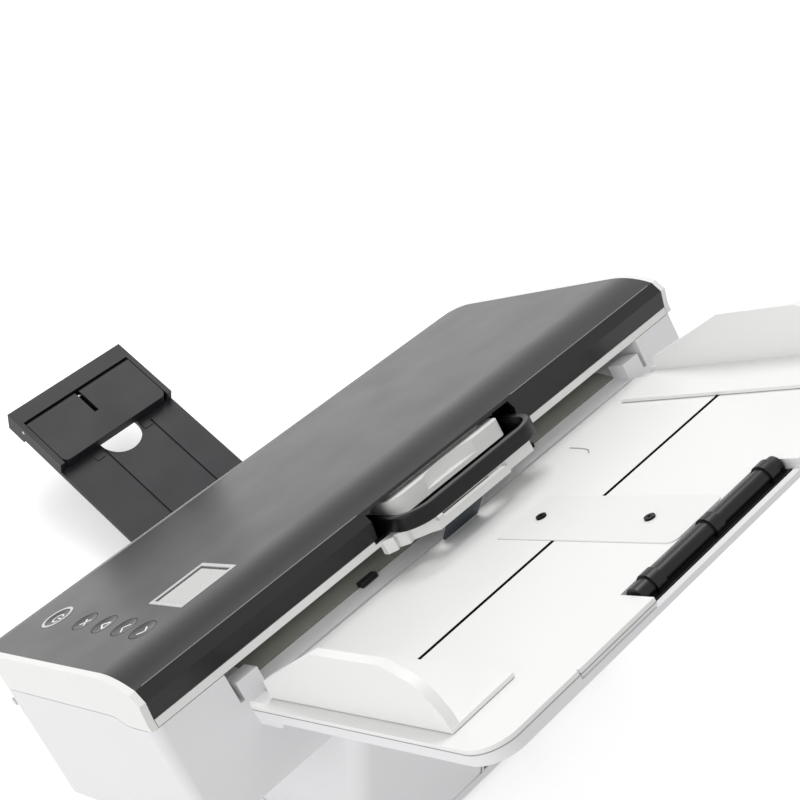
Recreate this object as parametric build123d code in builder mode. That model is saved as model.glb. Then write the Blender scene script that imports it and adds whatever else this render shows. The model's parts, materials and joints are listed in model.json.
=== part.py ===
"""Desktop document scanner: a tilted main unit on a narrow base, with a paper tray behind it and in front.

Frame: +Z up, +Y to the rear (the input tray), +X to the side with the buttons. The origin is on the table,
under the middle of the whole object. Most pieces are drawn on the sloping deck, in three distances from the
middle of the cover's lower rear edge: x across, u up the slope to the rear, and n square to the slope.
"""

from build123d import *
import os
from math import acos, cos, pi, radians, sin, sqrt, tan

# Main unit
body_width = 312.0
deck_length = 150.0
half_width = body_width / 2
deck_front = -deck_length
deck_tilt = 38.5
deck_height = 170.0
cover_height = 18.0
housing_depth = 56.0
housing_wall = 3.0
housing_corner = 11.0
rear_corner = 5.0
band_wall = 3.0
cover_wall = 2.5
cover_corner = 12.0
front_round = 4.0
seam_gap = 0.3
fixed_gap = 0.3
shaft_gap = 0.05

# Crest along the cover's rear edge
crest_length = 25.5
crest_drop = 5.4
crest_back = 1.0
crease_out = 2.3
crease_height = 7.8
lip_height = 3.6
lip_depth = 4.0
dip_start = 34.0
dip_end = 15.0

# Paper path
feed_x = -3.5
path_floor = 11.5
path_roof = 9.0
path_plate = 2.5
guide_plate = 2.0
throat_margin = 31.1
throat_half = half_width - throat_margin
throat_ramp = 24.0
liner_start = -8.9
liner_start_depth = 15.06
liner_thickness = 0.8
liner_gap = 0.1
tray_drop = 17.0
shoulder_inner = throat_half - 12.9
shoulder_outer = throat_half - 2.4
liner_half = shoulder_inner - 0.2
shoulder_drop = 9.5
shoulder_depth = 10.0
exit_lip = 18.3
roller_gap = 0.3
roller_reach = 1.1

# Cover hinge
hinge_u = deck_front + 8.0
hinge_n = -8.0
hinge_leg = 8.0
hinge_ear = 4.0
pin_radius = 2.0

# Feed rollers, shafts and drive
feed_u = -32.0
exit_u = deck_front + 30.0
tyre_radius = 11.0
shaft_radius = 3.0
feed_tyre_width = 15.0
feed_tyre_offset = 13.0
exit_tyre_width = 12.0
exit_tyre_offsets = (-80.0, -30.0, 30.0, 80.0)
separation_radius = 8.0
idler_radius = 6.0
small_shaft = 2.0
bearing_width = 6.0
bearing_half = 7.0
belt_x = half_width - 28.0
belt_width = 5.0
belt_thickness = 1.0
belt_gap = 0.15
feed_pulley_radius = 6.0
exit_pulley_radius = 5.0
motor_pulley_radius = 5.0
pulley_flange = 0.8
pulley_rim = 0.9
motor_u = -75.0
motor_n = -40.0
motor_size = 26.0
motor_back_x = belt_x - 36.0
motor_length = 33.0

# Scan glasses and sensors
glass_half = throat_half - 14.9
glass_width = 18.0
lower_glass_u = exit_u + 44.0
upper_glass_u = exit_u + 32.0
sensor_width = 24.0
sensor_height = 10.0
upper_sensor_height = 12.0

# Display and buttons
display_size = 29.0
display_x = half_width - 58.5
display_u = -41.6
bezel_width = 2.0
bezel_ledge = 1.0
lens_thickness = 2.2
lens_recess = 0.4
bezel_proud = 0.3
button_x = half_width - 29.0
power_u = -118.5
button_places = {"stop": -89.6, "start": -70.4, "down": -51.7, "up": -34.9}
button_radius = 5.8
power_radius = 5.9
ring_width = 1.4
ring_proud = 0.15
button_gap = 0.3
button_travel = 0.8
button_flange = 1.5
button_flange_out = 1.2
button_stem = 1.6
button_dimple = 0.6
dome_height = 1.5
dome_slack = 0.1
board_thickness = 1.6
board_margin = 7.0
panel_board_x = (half_width - 73.0, half_width - 14.5)

# Handle pocket, handle loop and gap lever
pocket_low_x = -50.0
pocket_high_x = 37.0
pocket_wall = 2.0
pocket_depth = 21.5
pocket_roof = 11.4
pocket_floor = 1.8
pocket_plate = 1.3
loop_low_x = -47.0
loop_high_x = 33.5
loop_reach = 22.6
loop_band = 3.5
loop_height = 7.0
loop_corner = 14.0
loop_pivot_u = -10.0
loop_pin = 1.5
lever_low_x = -39.2
lever_high_x = 25.9
lever_front = 3.3
lever_back = -18.5
lever_low = 1.8
lever_top = 9.5
lever_pivot_u = -16.5
lever_low_round = 2.5
lever_high_round = 8.0
lever_ridge = 1.2
lever_ridge_x = (-33.0, 20.0)
lever_ridge_u = -4.5
scoop_x = -7.5
scoop_width = 30.5
scoop_depth = 4.0

# Feed module frame and separation flap
frame_top = 1.3
frame_bottom = 7.2
frame_low_x = -39.5
frame_high_x = 37.5
frame_reach = 15.5
frame_bar = 17.8
frame_bar_low_x = -22.9
frame_bar_high_x = 19.6
frame_opening = 5.0
frame_step = 3.2
frame_step_depth = 3.8
frame_pin_x = 15.0
frame_pin_width = 3.0
frame_pin_radius = 1.6
flap_half = 10.0
flap_root_inner = 2.8
flap_root_outer = 0.8
flap_tip_u = 6.9
flap_tip_depth = 16.4
flap_tip_width = 0.9
flap_x = 4.0

# Input tray
tray_half = throat_half + 0.1
tray_end = 150.0
tray_start = 2.4
tray_corner = 13.0
tray_nose_corner = 6.0
tray_skin = 2.0
tray_rim_depth = 23.0
tray_belly_depth = 29.0
tray_belly_inset = 13.0
tray_belly_start = 34.0
tray_belly_end = 134.0
tray_wall = 2.5
tray_hinge_u = 14.0
tray_hinge_n = -24.0
tray_knuckle = 4.7
tray_ear_offset = tray_half - 7.0
tray_ear_width = 8.0
tray_ear_gap = 0.5
slot_u = 71.0
slot_width = 2.0
slot_inner = 13.0
slot_outer = tray_half - 12.5
plate_half = 15.0
plate_start = 38.0
plate_end = 134.0
plate_thickness = 0.5
plate_corner = 4.0
plate_screw_places = (50.0, 110.0)
plate_screw_radius = 2.2
panel_reach = 39.0
panel_line = 0.8
panel_line_depth = 0.8
panel_line_n = -20.6

# Side guides with their racks and pinion
guide_offset = tray_half - 5.5
guide_wall = 4.0
guide_flange = 29.5
guide_flange_thickness = 1.5
guide_start = 14.5
guide_end = 126.5
guide_lift = 0.3
neck_thickness = 1.4
neck_inner = guide_offset - 21.5
neck_outer = guide_offset - 12.5
rack_top = 19.6
rack_bottom = 24.0
rack_back = 4.0
rack_inner_end = -7.0
gear_module = 1.0
gear_teeth = 16
tooth_angle = 20.0
tooth_tip = 0.9
tooth_root = 1.25
tooth_play = 0.3
pinion_post = 2.5
pinion_shoulder = 4.0

# Rest flap on the tray's outer edge
rod_u = 139.5
rod_n = -19.0
rod_radius = 1.3
rest_low_x = -41.0
rest_high_x = 40.0
rest_ring = 4.8
rest_barrel = 3.9
rest_reach = 6.5
rest_plate_top = 1.5
rest_plate_bottom = 3.0
rest_strip = 3.0
rest_strip_top = -20.5
rest_ring_width = 5.0
rest_ring_places = (31.0, -2.0, -35.0)
rest_lug_places = (18.0, -21.0)
rest_lug_width = 5.0
rest_lug = 2.1
rest_lug_arm = 2.0
rest_lug_low = -26.0
rest_lug_floor = -23.3
rest_lug_play = 0.3
rest_lug_clear = 2.3
rest_notch_gap = 0.6

# Base
base_half = 90.0
base_rear = 40.0
base_front = 128.0
base_wall = 3.0
base_corner = 8.0
plinth_height = 22.0
pedestal_u = -95.0
pedestal_foot = 62.0
tray_seat_gap = 0.3
foot_height = 2.5
foot_radius = 7.0
foot_inset = 14.0
floor_plate = 2.0
floor_gap = 0.2
seam_low = 9.0
seam_high = 11.5
seam_depth = 1.2
board_lift = 4.5
board_half = 66.0
socket_width = 11.0
socket_height = 12.0
socket_depth = 17.0
socket_wall = 1.6
socket_hollow = 11.0
socket_proud = 0.5
power_x = -20.0
usb_x = 6.0
ramp_flat_u = 22.0
ramp_soft_u = 14.0
ramp_knee_u = 8.0
lip_n = 14.0
lip_under_n = 19.5
liner_knee = (13.1, 13.5)
liner_bend_u = 17.2
exit_slope_skin = 2.2
hinge_foot_half = 6.7
hinge_foot_low = 20.5
feed_slot_half = 8.5
feed_slot_front = 9.5
slot_spare = 0.5
exit_slot_half = 9.0
exit_slot_half_x = 7.0
idler_half_width = 5.0
idler_shaft_over = 4.0
idler_bore_over = 7.0
separation_tyre_half = 11.0
separation_shaft_half = 28.0
separation_bore_half = 30.0
frame_steps = ((0, 3.0), (3.5, 6.0), (5.0, 4.5), (8.0, 9.0), (10.5, 8.0))
frame_bar_step = (2.0, 14.0)
frame_bar_end = 1.5
frame_wall = 3.0
cover_post_edge = 16.0
cover_post_inner_x = 60.0
cover_post_front = (18.0, 14.0)
cover_post_rear = (58.0, 54.0)
board_post_side = (10.0, 13.5)
board_post_u = (-27, -102, -66, -108)
screw_radius = 1.5
screw_head = 2.8
screw_head_height = 1.8
screw_length = 9.0
boss_radius = 4.0

# Output tray and its stop flap
out_half = 38.5
out_length = 163.0
out_slope = 9.2
out_pivot_y = 118.0
out_pivot_z = 12.1
out_under = 1.5
out_top = 1.5
out_knuckle = 3.8
out_ear_width = 7.0
out_pocket = 112.0
out_gap = 0.8
out_rim = 3.0
out_end = 10.0
stop_thickness = 6.0
stop_lift = 0.3
stop_depth = 34.7
stop_side_gap = 0.3
stop_pin = 1.0
stop_corner = 4.0
groove_places = (12.0, -20.0)
groove_width = 1.2
groove_depth = 0.8
groove_start = 20.0
groove_stop = 4.0
pad_places = (16.5, -16.5)
pad_size = 5.5
pad_height = 0.4
pad_gap = 1.5
finger_radius = 12.5
finger_x = -1.0
slit_x = 0.8
slit_width = 2.4
slit_length = 18.5
end_step = 13.0
end_step_depth = 2.5

# Directions of the sloping deck, and its place in the frame
tilt_cos = cos(radians(deck_tilt))
tilt_sin = sin(radians(deck_tilt))
slope_dir = (0, tilt_cos, tilt_sin)
deck_normal = (0, -tilt_sin, tilt_cos)
out_cos = cos(radians(out_slope))
out_sin = sin(radians(out_slope))
rearmost = tray_end * tilt_cos + tray_rim_depth * tilt_sin
frontmost = -out_pivot_y - out_length * out_cos - (out_under + end_step_depth) * out_sin
deck_y = -(rearmost + frontmost) / 2


def deck_point(x, u, n):
    """Gives the place of a point of the sloping deck in the object's frame."""
    return Vector(x, deck_y + u * tilt_cos - n * tilt_sin, deck_height + u * tilt_sin + n * tilt_cos)


def deck(n):
    """Gives the plane at height n over the deck: its x runs across and its y up the slope."""
    return Plane(origin=deck_point(0, 0, n), x_dir=(1, 0, 0), z_dir=deck_normal)


def across(x):
    """Gives the upright plane at x: its x runs up the slope and its y square to the slope."""
    return Plane(origin=deck_point(x, 0, 0), x_dir=slope_dir, z_dir=(1, 0, 0))


def upright(x):
    """Gives the upright plane at x, level with the table: its x runs to the rear and its y up."""
    return Plane(origin=(x, 0, 0), x_dir=(0, 1, 0), z_dir=(1, 0, 0))


def out_plane(h):
    """Gives the plane at height h over the output tray's pivot: its y runs inwards along the tray."""
    origin = (0, deck_y - out_pivot_y + h * out_sin, out_pivot_z + h * out_cos)
    return Plane(origin=origin, x_dir=(1, 0, 0), z_dir=(0, out_sin, out_cos))


def out_across(x):
    """Gives the plane at x whose x runs outwards along the output tray; it extrudes towards -X."""
    origin = (x, deck_y - out_pivot_y, out_pivot_z)
    return Plane(origin=origin, x_dir=(0, -out_cos, out_sin), z_dir=(-1, 0, 0))


def deck_box(x, u, n, mode=Mode.ADD):
    """Adds a box on the deck, from its low and high x, u and n."""
    with BuildSketch(deck(n[0])) as plan:
        with Locations(((x[0] + x[1]) / 2, (u[0] + u[1]) / 2)):
            Rectangle(x[1] - x[0], u[1] - u[0])
    extrude(plan.sketch, amount=n[1] - n[0], mode=mode)


def deck_post(x, u, radius, n, mode=Mode.ADD):
    """Adds a round post square to the deck."""
    with BuildSketch(deck(n[0])) as plan:
        with Locations((x, u)):
            Circle(radius)
    extrude(plan.sketch, amount=n[1] - n[0], mode=mode)


def deck_rod(x, u, n, radius, mode=Mode.ADD):
    """Adds a round rod across the deck, from its low to its high x."""
    with BuildSketch(across(x[0])) as side:
        with Locations((u, n)):
            Circle(radius)
    extrude(side.sketch, amount=x[1] - x[0], mode=mode)


def deck_prism(x, points, mode=Mode.ADD):
    """Adds a prism across the deck from the corners of its side view."""
    with BuildSketch(across(x[0])) as side:
        with BuildLine():
            Polyline(*points, close=True)
        make_face()
    extrude(side.sketch, amount=x[1] - x[0], mode=mode)


def level_box(x, y, z, mode=Mode.ADD):
    """Adds a box that stands level with the table."""
    with BuildSketch(Plane.XY.offset(z[0])) as plan:
        with Locations(((x[0] + x[1]) / 2, (y[0] + y[1]) / 2)):
            Rectangle(x[1] - x[0], y[1] - y[0])
    extrude(plan.sketch, amount=z[1] - z[0], mode=mode)


def level_post(x, y, radius, z, mode=Mode.ADD):
    """Adds an upright round post."""
    with BuildSketch(Plane.XY.offset(z[0])) as plan:
        with Locations((x, y)):
            Circle(radius)
    extrude(plan.sketch, amount=z[1] - z[0], mode=mode)


def save(piece, name):
    """Labels a finished piece and writes it under its name."""
    piece.part.label = name
    export_step(piece.part, f"parts/{name}.step")


os.makedirs("parts", exist_ok=True)

# Cover outline and seam
shell_half = half_width - band_wall
shell_front = deck_front + band_wall


def cover_outline(plane, front, low, inset=0.0):
    """Gives the side view of the cover, with its rounded front and its creased rear crest."""
    top = cover_height
    slack = front_round * (1 - sin(pi / 4))
    crest = (-crest_back, top - crest_drop)
    below = [(0, low)] if low < 0 else []
    with BuildSketch(plane) as side:
        with BuildLine():
            Line((front, low), (front, top - front_round))
            crown = (front + slack, top - slack)
            ThreePointArc((front, top - front_round), crown, (front + front_round, top))
            Line((front + front_round, top), (-crest_length, top))
            TangentArc((-crest_length, top), crest, tangent=(1, 0))
            Polyline(crest, (crease_out, crease_height), (0, 0), *below, (front, low))
        make_face()
        if inset:
            offset(amount=-inset, kind=Kind.INTERSECTION)
    return side.sketch


def seam_outline(plane, front, drop, far):
    """Gives the side view of what lies on one side of the seam, which dips at the rear."""
    mid = -(dip_start + dip_end) / 2
    low = -lip_height - drop
    rear = crease_out + 1
    with BuildSketch(plane) as side:
        with BuildLine():
            Line((front, -drop), (-dip_start, -drop))
            Bezier((-dip_start, -drop), (mid, -drop), (mid, low), (-dip_end, low))
            Polyline((-dip_end, low), (rear, low), (rear, far), (front, far), (front, -drop))
        make_face()
    return side.sketch


def plan_outline(plane, half, front, corner, rear):
    """Gives the plan of the main unit, round at its two front corners."""
    slack = corner * (1 - sin(pi / 4))
    with BuildSketch(plane) as plan:
        with BuildLine():
            Polyline((half, front + corner), (half, rear), (-half, rear), (-half, front + corner))
            ThreePointArc((-half, front + corner), (slack - half, front + slack), (corner - half, front))
            Line((corner - half, front), (half - corner, front))
            ThreePointArc((half - corner, front), (half - slack, front + slack), (half, front + corner))
        make_face()
    return plan.sketch


# Cover shell, dark, open below
stem_low = cover_height - cover_wall - fixed_gap - button_flange - button_stem
board_top = stem_low - dome_height - button_travel - dome_slack
bezel_half = display_size / 2
display_x_span = (display_x - bezel_half, display_x + bezel_half)
display_u_span = (display_u - bezel_half, display_u + bezel_half)
skin_cut = (cover_height - cover_wall - 1, cover_height + 1)
with BuildPart() as cover_shell:
    shell_plan = plan_outline(deck(0), shell_half, shell_front, cover_corner, crease_out + 1)
    extrude(shell_plan, amount=cover_height)
    extrude(cover_outline(across(-shell_half), shell_front, 0), amount=2 * shell_half, mode=Mode.INTERSECT)
    cavity_half = shell_half - cover_wall
    cavity = cover_outline(across(-cavity_half), shell_front, -3 * cover_wall, cover_wall)
    extrude(cavity, amount=2 * cavity_half, mode=Mode.SUBTRACT)
    recess_u = (-crest_length / 2, crease_out + 1)
    deck_box((pocket_low_x, pocket_high_x), recess_u, (-1, pocket_roof), Mode.SUBTRACT)
    deck_box(display_x_span, display_u_span, skin_cut, Mode.SUBTRACT)
    for u in button_places.values():
        deck_post(button_x, u, button_radius + button_gap, skin_cut, Mode.SUBTRACT)
    deck_post(button_x, power_u, power_radius + button_gap + ring_width, skin_cut, Mode.SUBTRACT)
save(cover_shell, "cover_shell")

# White band round the cover's sides and front, with the two hinge legs
leg_face = shell_half + fixed_gap
leg_low = hinge_n - hinge_leg
band_corner = cover_corner + band_wall
with BuildPart() as cover_band:
    band_plan = plan_outline(deck(leg_low), half_width, deck_front, band_corner, crease_out + 1)
    extrude(band_plan, amount=cover_height - leg_low)
    inside = plan_outline(deck(leg_low), shell_half, shell_front, cover_corner, crease_out + 2)
    extrude(inside, amount=cover_height - leg_low, mode=Mode.SUBTRACT)
    band_side = cover_outline(across(-half_width), deck_front, -lip_height)
    extrude(band_side, amount=body_width, mode=Mode.INTERSECT)
    below_seam = seam_outline(across(-half_width), deck_front - 1, 0, -housing_depth)
    extrude(below_seam, amount=body_width, mode=Mode.SUBTRACT)
    for low, high in ((-half_width, -leg_face), (leg_face, half_width)):
        deck_rod((low, high), hinge_u, hinge_n, hinge_leg)
        leg_u = (hinge_u - hinge_leg, hinge_u + hinge_leg)
        deck_box((low, high), leg_u, (hinge_n, 2 * seam_gap))
    extrude(band_plan, amount=cover_height - leg_low, mode=Mode.INTERSECT)
    for low, high in ((-half_width, -leg_face), (leg_face, half_width)):
        deck_rod((low, high), hinge_u, hinge_n, pin_radius + shaft_gap, Mode.SUBTRACT)
save(cover_band, "cover_band")

# Upper paper guide: roof of the paper path, with the white lip under the cover's rear edge
roof = -path_roof
roller_low = -path_floor + roller_reach + roller_gap
separation_n = roller_low + separation_radius
idler_n = roller_low + idler_radius
guide_half = shell_half - hinge_ear - 1
ramp_top = -throat_ramp - 3
roof_top = roof + guide_plate
lip_under = -lip_height
pocket_x = (pocket_low_x - pocket_wall, pocket_high_x + pocket_wall)
cover_post_x = half_width - cover_post_edge
cover_post_places = (
    (-cover_post_x, -30),
    (-cover_post_x, deck_front + cover_post_front[0]),
    (cover_post_inner_x, deck_front + cover_post_front[1]),
    (half_width - 84, exit_u + cover_post_rear[0]),
    (-cover_post_inner_x, exit_u + cover_post_rear[0]),
    (half_width - 10, exit_u + cover_post_rear[1]),
)
board_post_places = (
    (button_x + board_post_side[0], board_post_u[0]),
    (button_x + board_post_side[0], board_post_u[1]),
    (button_x - board_post_side[1], board_post_u[2]),
    (button_x - board_post_side[1], board_post_u[3]),
)
board_post = 2.5
ear_width = 4.0
ear_half = 4.0
separation_half = 20.0
idler_half = 92.0
idler_ear_places = (-idler_half, -ear_width / 2, idler_half - ear_width)
with BuildPart() as upper_paper_guide:
    ramp = (
        (ramp_top, roof),
        (-lip_depth, lip_under),
        (0, lip_under),
        (0, lip_under + guide_plate),
        (-lip_depth, lip_under + guide_plate),
        (ramp_top, roof_top),
    )
    deck_prism((feed_x - throat_half + 1.5, feed_x + throat_half - 1.5), ramp)
    deck_box((-guide_half, guide_half), (deck_front + guide_plate, ramp_top), (roof, roof_top))
    lip_half = leg_face - 2 * fixed_gap
    deck_box((-lip_half, lip_half), (-lip_depth, 0), (lip_under, -seam_gap))
    deck_box(pocket_x, (-lip_depth - 1, 1), (-pocket_floor, 1), Mode.SUBTRACT)
    for x, u in board_post_places:
        deck_post(x, u, board_post, (roof, board_top - board_thickness))
    for x, u in cover_post_places:
        deck_post(x, u, boss_radius, (roof, cover_height - cover_wall))
    for x in (-separation_half - ear_width, separation_half):
        ear_x = (feed_x + x, feed_x + x + ear_width)
        deck_box(ear_x, (feed_u - ear_half, feed_u + ear_half), (roof, separation_n + ear_half))
    for x in idler_ear_places:
        ear_x = (feed_x + x, feed_x + x + ear_width)
        deck_box(ear_x, (exit_u - ear_half, exit_u + ear_half), (roof, idler_n + ear_half))
    for x, u in cover_post_places:
        deck_post(x, u, screw_head, (roof, roof + screw_head_height), Mode.SUBTRACT)
        deck_post(x, u, screw_radius, (roof, roof + screw_head_height + screw_length), Mode.SUBTRACT)
    bore = small_shaft + shaft_gap
    bore_x = (feed_x - separation_bore_half, feed_x + separation_bore_half)
    deck_rod(bore_x, feed_u, separation_n, bore, Mode.SUBTRACT)
    idler_reach = idler_half + idler_bore_over
    idler_x = (feed_x - idler_reach, feed_x + idler_reach)
    deck_rod(idler_x, exit_u, idler_n, bore, Mode.SUBTRACT)
    window = (upper_glass_u - glass_width / 2, upper_glass_u + glass_width / 2)
    glass_x = (feed_x - glass_half, feed_x + glass_half)
    deck_box(glass_x, window, (roof - 1, roof_top), Mode.SUBTRACT)
    half = separation_half - 2
    cut_u = (feed_u - separation_radius, feed_u + separation_radius)
    deck_box((feed_x - half, feed_x + half), cut_u, (roof - 1, roof_top + 1), Mode.SUBTRACT)
    for place in exit_tyre_offsets:
        cut_x = (feed_x + place - exit_tyre_width / 2 - 1, feed_x + place + exit_tyre_width / 2 + 1)
        cut_u = (exit_u - idler_radius, exit_u + idler_radius)
        deck_box(cut_x, cut_u, (roof - 1, roof_top + 1), Mode.SUBTRACT)
save(upper_paper_guide, "upper_paper_guide")

with BuildPart() as upper_scan_glass:
    pane_x = (glass_x[0] + floor_gap, glass_x[1] - floor_gap)
    pane_u = (window[0] + floor_gap, window[1] - floor_gap)
    deck_box(pane_x, pane_u, (roof, roof_top))
save(upper_scan_glass, "upper_scan_glass")

with BuildPart() as upper_image_sensor:
    sensor_u = (upper_glass_u - sensor_width / 2, upper_glass_u + sensor_width / 2)
    deck_box((glass_x[0] - 2, glass_x[1] + 2), sensor_u, (roof_top, roof_top + upper_sensor_height))
save(upper_image_sensor, "upper_image_sensor")

with BuildPart() as cover_screws:
    for x, u in cover_post_places:
        deck_post(x, u, screw_head, (roof, roof + screw_head_height))
        thread_low = roof + screw_head_height
        deck_post(x, u, screw_radius, (thread_low, thread_low + screw_length))
        deck_post(x, u, screw_radius / 2, (roof - 1, roof + screw_head_height / 2), Mode.SUBTRACT)
save(cover_screws, "cover_screws")

# Control board with the rubber domes under the buttons
with BuildPart() as control_board:
    board_u = (power_u - board_margin, display_u + bezel_half + board_margin)
    deck_box(panel_board_x, board_u, (board_top - board_thickness, board_top))
save(control_board, "control_board")

all_buttons = [(power_u, power_radius)] + [(u, button_radius) for u in button_places.values()]
with BuildPart() as button_domes:
    for u, radius in all_buttons:
        deck_post(button_x, u, radius / 2, (board_top, board_top + dome_height))
save(button_domes, "button_domes")

# Display: bezel standing on the board, and the lens on its ledge
with BuildPart() as display_bezel:
    trim = floor_gap / 2
    outer_x = (display_x_span[0] + trim, display_x_span[1] - trim)
    outer_u = (display_u_span[0] + trim, display_u_span[1] - trim)
    deck_box(outer_x, outer_u, (board_top, cover_height + bezel_proud))
    ledge = bezel_width + bezel_ledge
    ledge_n = cover_height - lens_recess - lens_thickness
    hole_x = (outer_x[0] + bezel_width, outer_x[1] - bezel_width)
    hole_u = (outer_u[0] + bezel_width, outer_u[1] - bezel_width)
    deck_box(hole_x, hole_u, (ledge_n, cover_height + 1), Mode.SUBTRACT)
    ledge_x = (outer_x[0] + ledge, outer_x[1] - ledge)
    ledge_u = (outer_u[0] + ledge, outer_u[1] - ledge)
    deck_box(ledge_x, ledge_u, (board_top - 1, ledge_n), Mode.SUBTRACT)
save(display_bezel, "display_bezel")

with BuildPart() as display_lens:
    lens_x = (hole_x[0] + trim, hole_x[1] - trim)
    lens_u = (hole_u[0] + trim, hole_u[1] - trim)
    deck_box(lens_x, lens_u, (ledge_n, ledge_n + lens_thickness))
save(display_lens, "display_lens")

# Buttons, each dished for a fingertip
ring_low = cover_height - cover_wall
with BuildPart() as power_ring:
    ring_inner = power_radius + button_gap
    deck_post(button_x, power_u, ring_inner + ring_width, (ring_low, cover_height + ring_proud))
    deck_post(button_x, power_u, ring_inner, (ring_low - 1, cover_height + 1), Mode.SUBTRACT)
save(power_ring, "power_ring")


def make_button(u, radius):
    """Gives a button with its dish, its stop flange and its stem."""
    flange_top = cover_height - cover_wall - fixed_gap
    dish = (radius * radius + button_dimple * button_dimple) / (2 * button_dimple)
    centre = deck_point(button_x, u, cover_height + dish - button_dimple)
    with BuildPart() as button:
        deck_post(button_x, u, radius, (stem_low + button_stem, cover_height))
        deck_post(button_x, u, radius + button_flange_out, (flange_top - button_flange, flange_top))
        deck_post(button_x, u, radius / 3, (stem_low, flange_top))
        with Locations(centre):
            Sphere(dish, mode=Mode.SUBTRACT)
    return button


save(make_button(power_u, power_radius), "power_button")
for name, u in button_places.items():
    save(make_button(u, button_radius), name + "_button")

# Black pocket behind the cover's rear edge, which carries the handle loop and the gap lever
floor_low = -pocket_floor
floor_top = floor_low + pocket_plate
roof_end = -9.0
side_end = -5.0
with BuildPart() as handle_pocket:
    deck_box(pocket_x, (-pocket_depth, -0.3), (floor_low, floor_top))
    back_u = (-pocket_depth, -pocket_depth + pocket_wall)
    deck_box(pocket_x, back_u, (floor_low, pocket_roof + pocket_plate))
    deck_box(pocket_x, (-pocket_depth, roof_end), (pocket_roof, pocket_roof + pocket_plate))
    for low in (pocket_x[0], pocket_high_x):
        sides_x = (low, low + pocket_wall)
        deck_box(sides_x, (-pocket_depth, roof_end), (floor_low, pocket_roof + pocket_plate))
        deck_box(sides_x, (roof_end, side_end), (floor_low, pocket_roof - pocket_wall))
        deck_box(sides_x, (side_end, -cover_wall - 1), (floor_low, crease_height - 2))
    loop_n = loop_height / 2
    lever_n = (lever_low + lever_top) / 2
    deck_rod(pocket_x, loop_pivot_u, loop_n, loop_pin + shaft_gap, Mode.SUBTRACT)
    deck_rod(pocket_x, lever_pivot_u, lever_n, loop_pin + shaft_gap, Mode.SUBTRACT)
save(handle_pocket, "handle_pocket")

with BuildPart() as handle_loop:
    loop_boss = loop_height / 2
    with BuildSketch(deck(0)) as loop_plan:
        with BuildLine():
            FilletPolyline(
                (loop_high_x, loop_pivot_u),
                (loop_high_x, loop_reach),
                (loop_low_x, loop_reach),
                (loop_low_x, loop_pivot_u),
                radius=loop_corner,
            )
            Line((loop_low_x, loop_pivot_u), (loop_low_x + loop_band, loop_pivot_u))
            FilletPolyline(
                (loop_low_x + loop_band, loop_pivot_u),
                (loop_low_x + loop_band, loop_reach - loop_band),
                (loop_high_x - loop_band, loop_reach - loop_band),
                (loop_high_x - loop_band, loop_pivot_u),
                radius=loop_corner - loop_band,
            )
            Line((loop_high_x - loop_band, loop_pivot_u), (loop_high_x, loop_pivot_u))
        make_face()
    extrude(amount=loop_height)
    for low in (loop_low_x, loop_high_x - loop_band):
        deck_rod((low, low + loop_band), loop_pivot_u, loop_boss, loop_boss)
    deck_rod((pocket_x[0] + fixed_gap, loop_low_x + 1), loop_pivot_u, loop_boss, loop_pin)
    deck_rod((loop_high_x - 1, pocket_x[1] - fixed_gap), loop_pivot_u, loop_boss, loop_pin)
save(handle_loop, "handle_loop")

with BuildPart() as gap_lever:
    scoop_radius = ((scoop_width / 2) ** 2 + scoop_depth**2) / (2 * scoop_depth)
    with BuildSketch(deck(lever_low)) as lever_plan:
        with BuildLine():
            Polyline(
                (lever_low_x, lever_back),
                (lever_low_x, lever_front),
                (lever_high_x, lever_front),
                (lever_high_x, lever_back),
                close=True,
            )
        make_face()
        high_corner = lever_plan.vertices().sort_by(Axis.X)[-2:].sort_by(Axis.Y)[-1]
        fillet(high_corner, lever_high_round)
        low_corner = lever_plan.vertices().sort_by(Axis.X)[:2].sort_by(Axis.Y)[-1]
        fillet(low_corner, lever_low_round)
    extrude(amount=lever_top - lever_low)
    deck_box(lever_ridge_x, (lever_back, lever_ridge_u), (lever_low, lever_top + lever_ridge))
    scoop_n = (lever_low + 2, lever_top + 1)
    deck_post(scoop_x, lever_front + scoop_radius - scoop_depth, scoop_radius, scoop_n, Mode.SUBTRACT)
    deck_rod((pocket_x[0] + fixed_gap, lever_low_x + 1), lever_pivot_u, lever_n, loop_pin)
    deck_rod((lever_high_x - 1, pocket_x[1] - fixed_gap), lever_pivot_u, lever_n, loop_pin)
save(gap_lever, "gap_lever")

# White frame of the feed module under the loop, and the slate flap that hangs from it
with BuildPart() as module_frame:
    with BuildSketch(deck(-frame_bottom)) as frame_plan:
        with BuildLine():
            Polyline(
                (frame_high_x, 0),
                *[(frame_high_x - back, reach) for back, reach in frame_steps],
                (frame_bar_high_x + frame_bar_step[0], frame_bar_step[1]),
                (frame_bar_high_x, frame_bar),
                (frame_bar_low_x, frame_bar),
                (frame_bar_low_x - frame_bar_end, frame_reach),
                (frame_low_x, frame_reach),
                (frame_low_x, 0),
                close=True,
            )
        make_face()
    extrude(amount=frame_bottom - frame_top)
    step_x = (frame_bar_low_x, frame_bar_high_x)
    deck_box(step_x, (frame_bar - frame_step, frame_bar + 1), (-frame_step_depth, 0), Mode.SUBTRACT)
    pin_x = (frame_pin_x, frame_pin_x + frame_pin_width)
    deck_rod(pin_x, frame_bar - frame_pin_radius, -frame_step_depth, frame_pin_radius)
    hollow_x = (frame_bar_low_x + frame_wall, frame_bar_high_x - frame_wall)
    hollow_u = (frame_opening, frame_bar - frame_wall)
    deck_box(hollow_x, hollow_u, (-frame_bottom - 1, 0), Mode.SUBTRACT)
    deck_box((frame_low_x, frame_high_x), (-1, 1), (-lip_height, -frame_top + 1), Mode.SUBTRACT)
    deck_box((frame_low_x, frame_high_x), (0, 1), (-lip_height, -pocket_floor))
save(module_frame, "module_frame")

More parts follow.
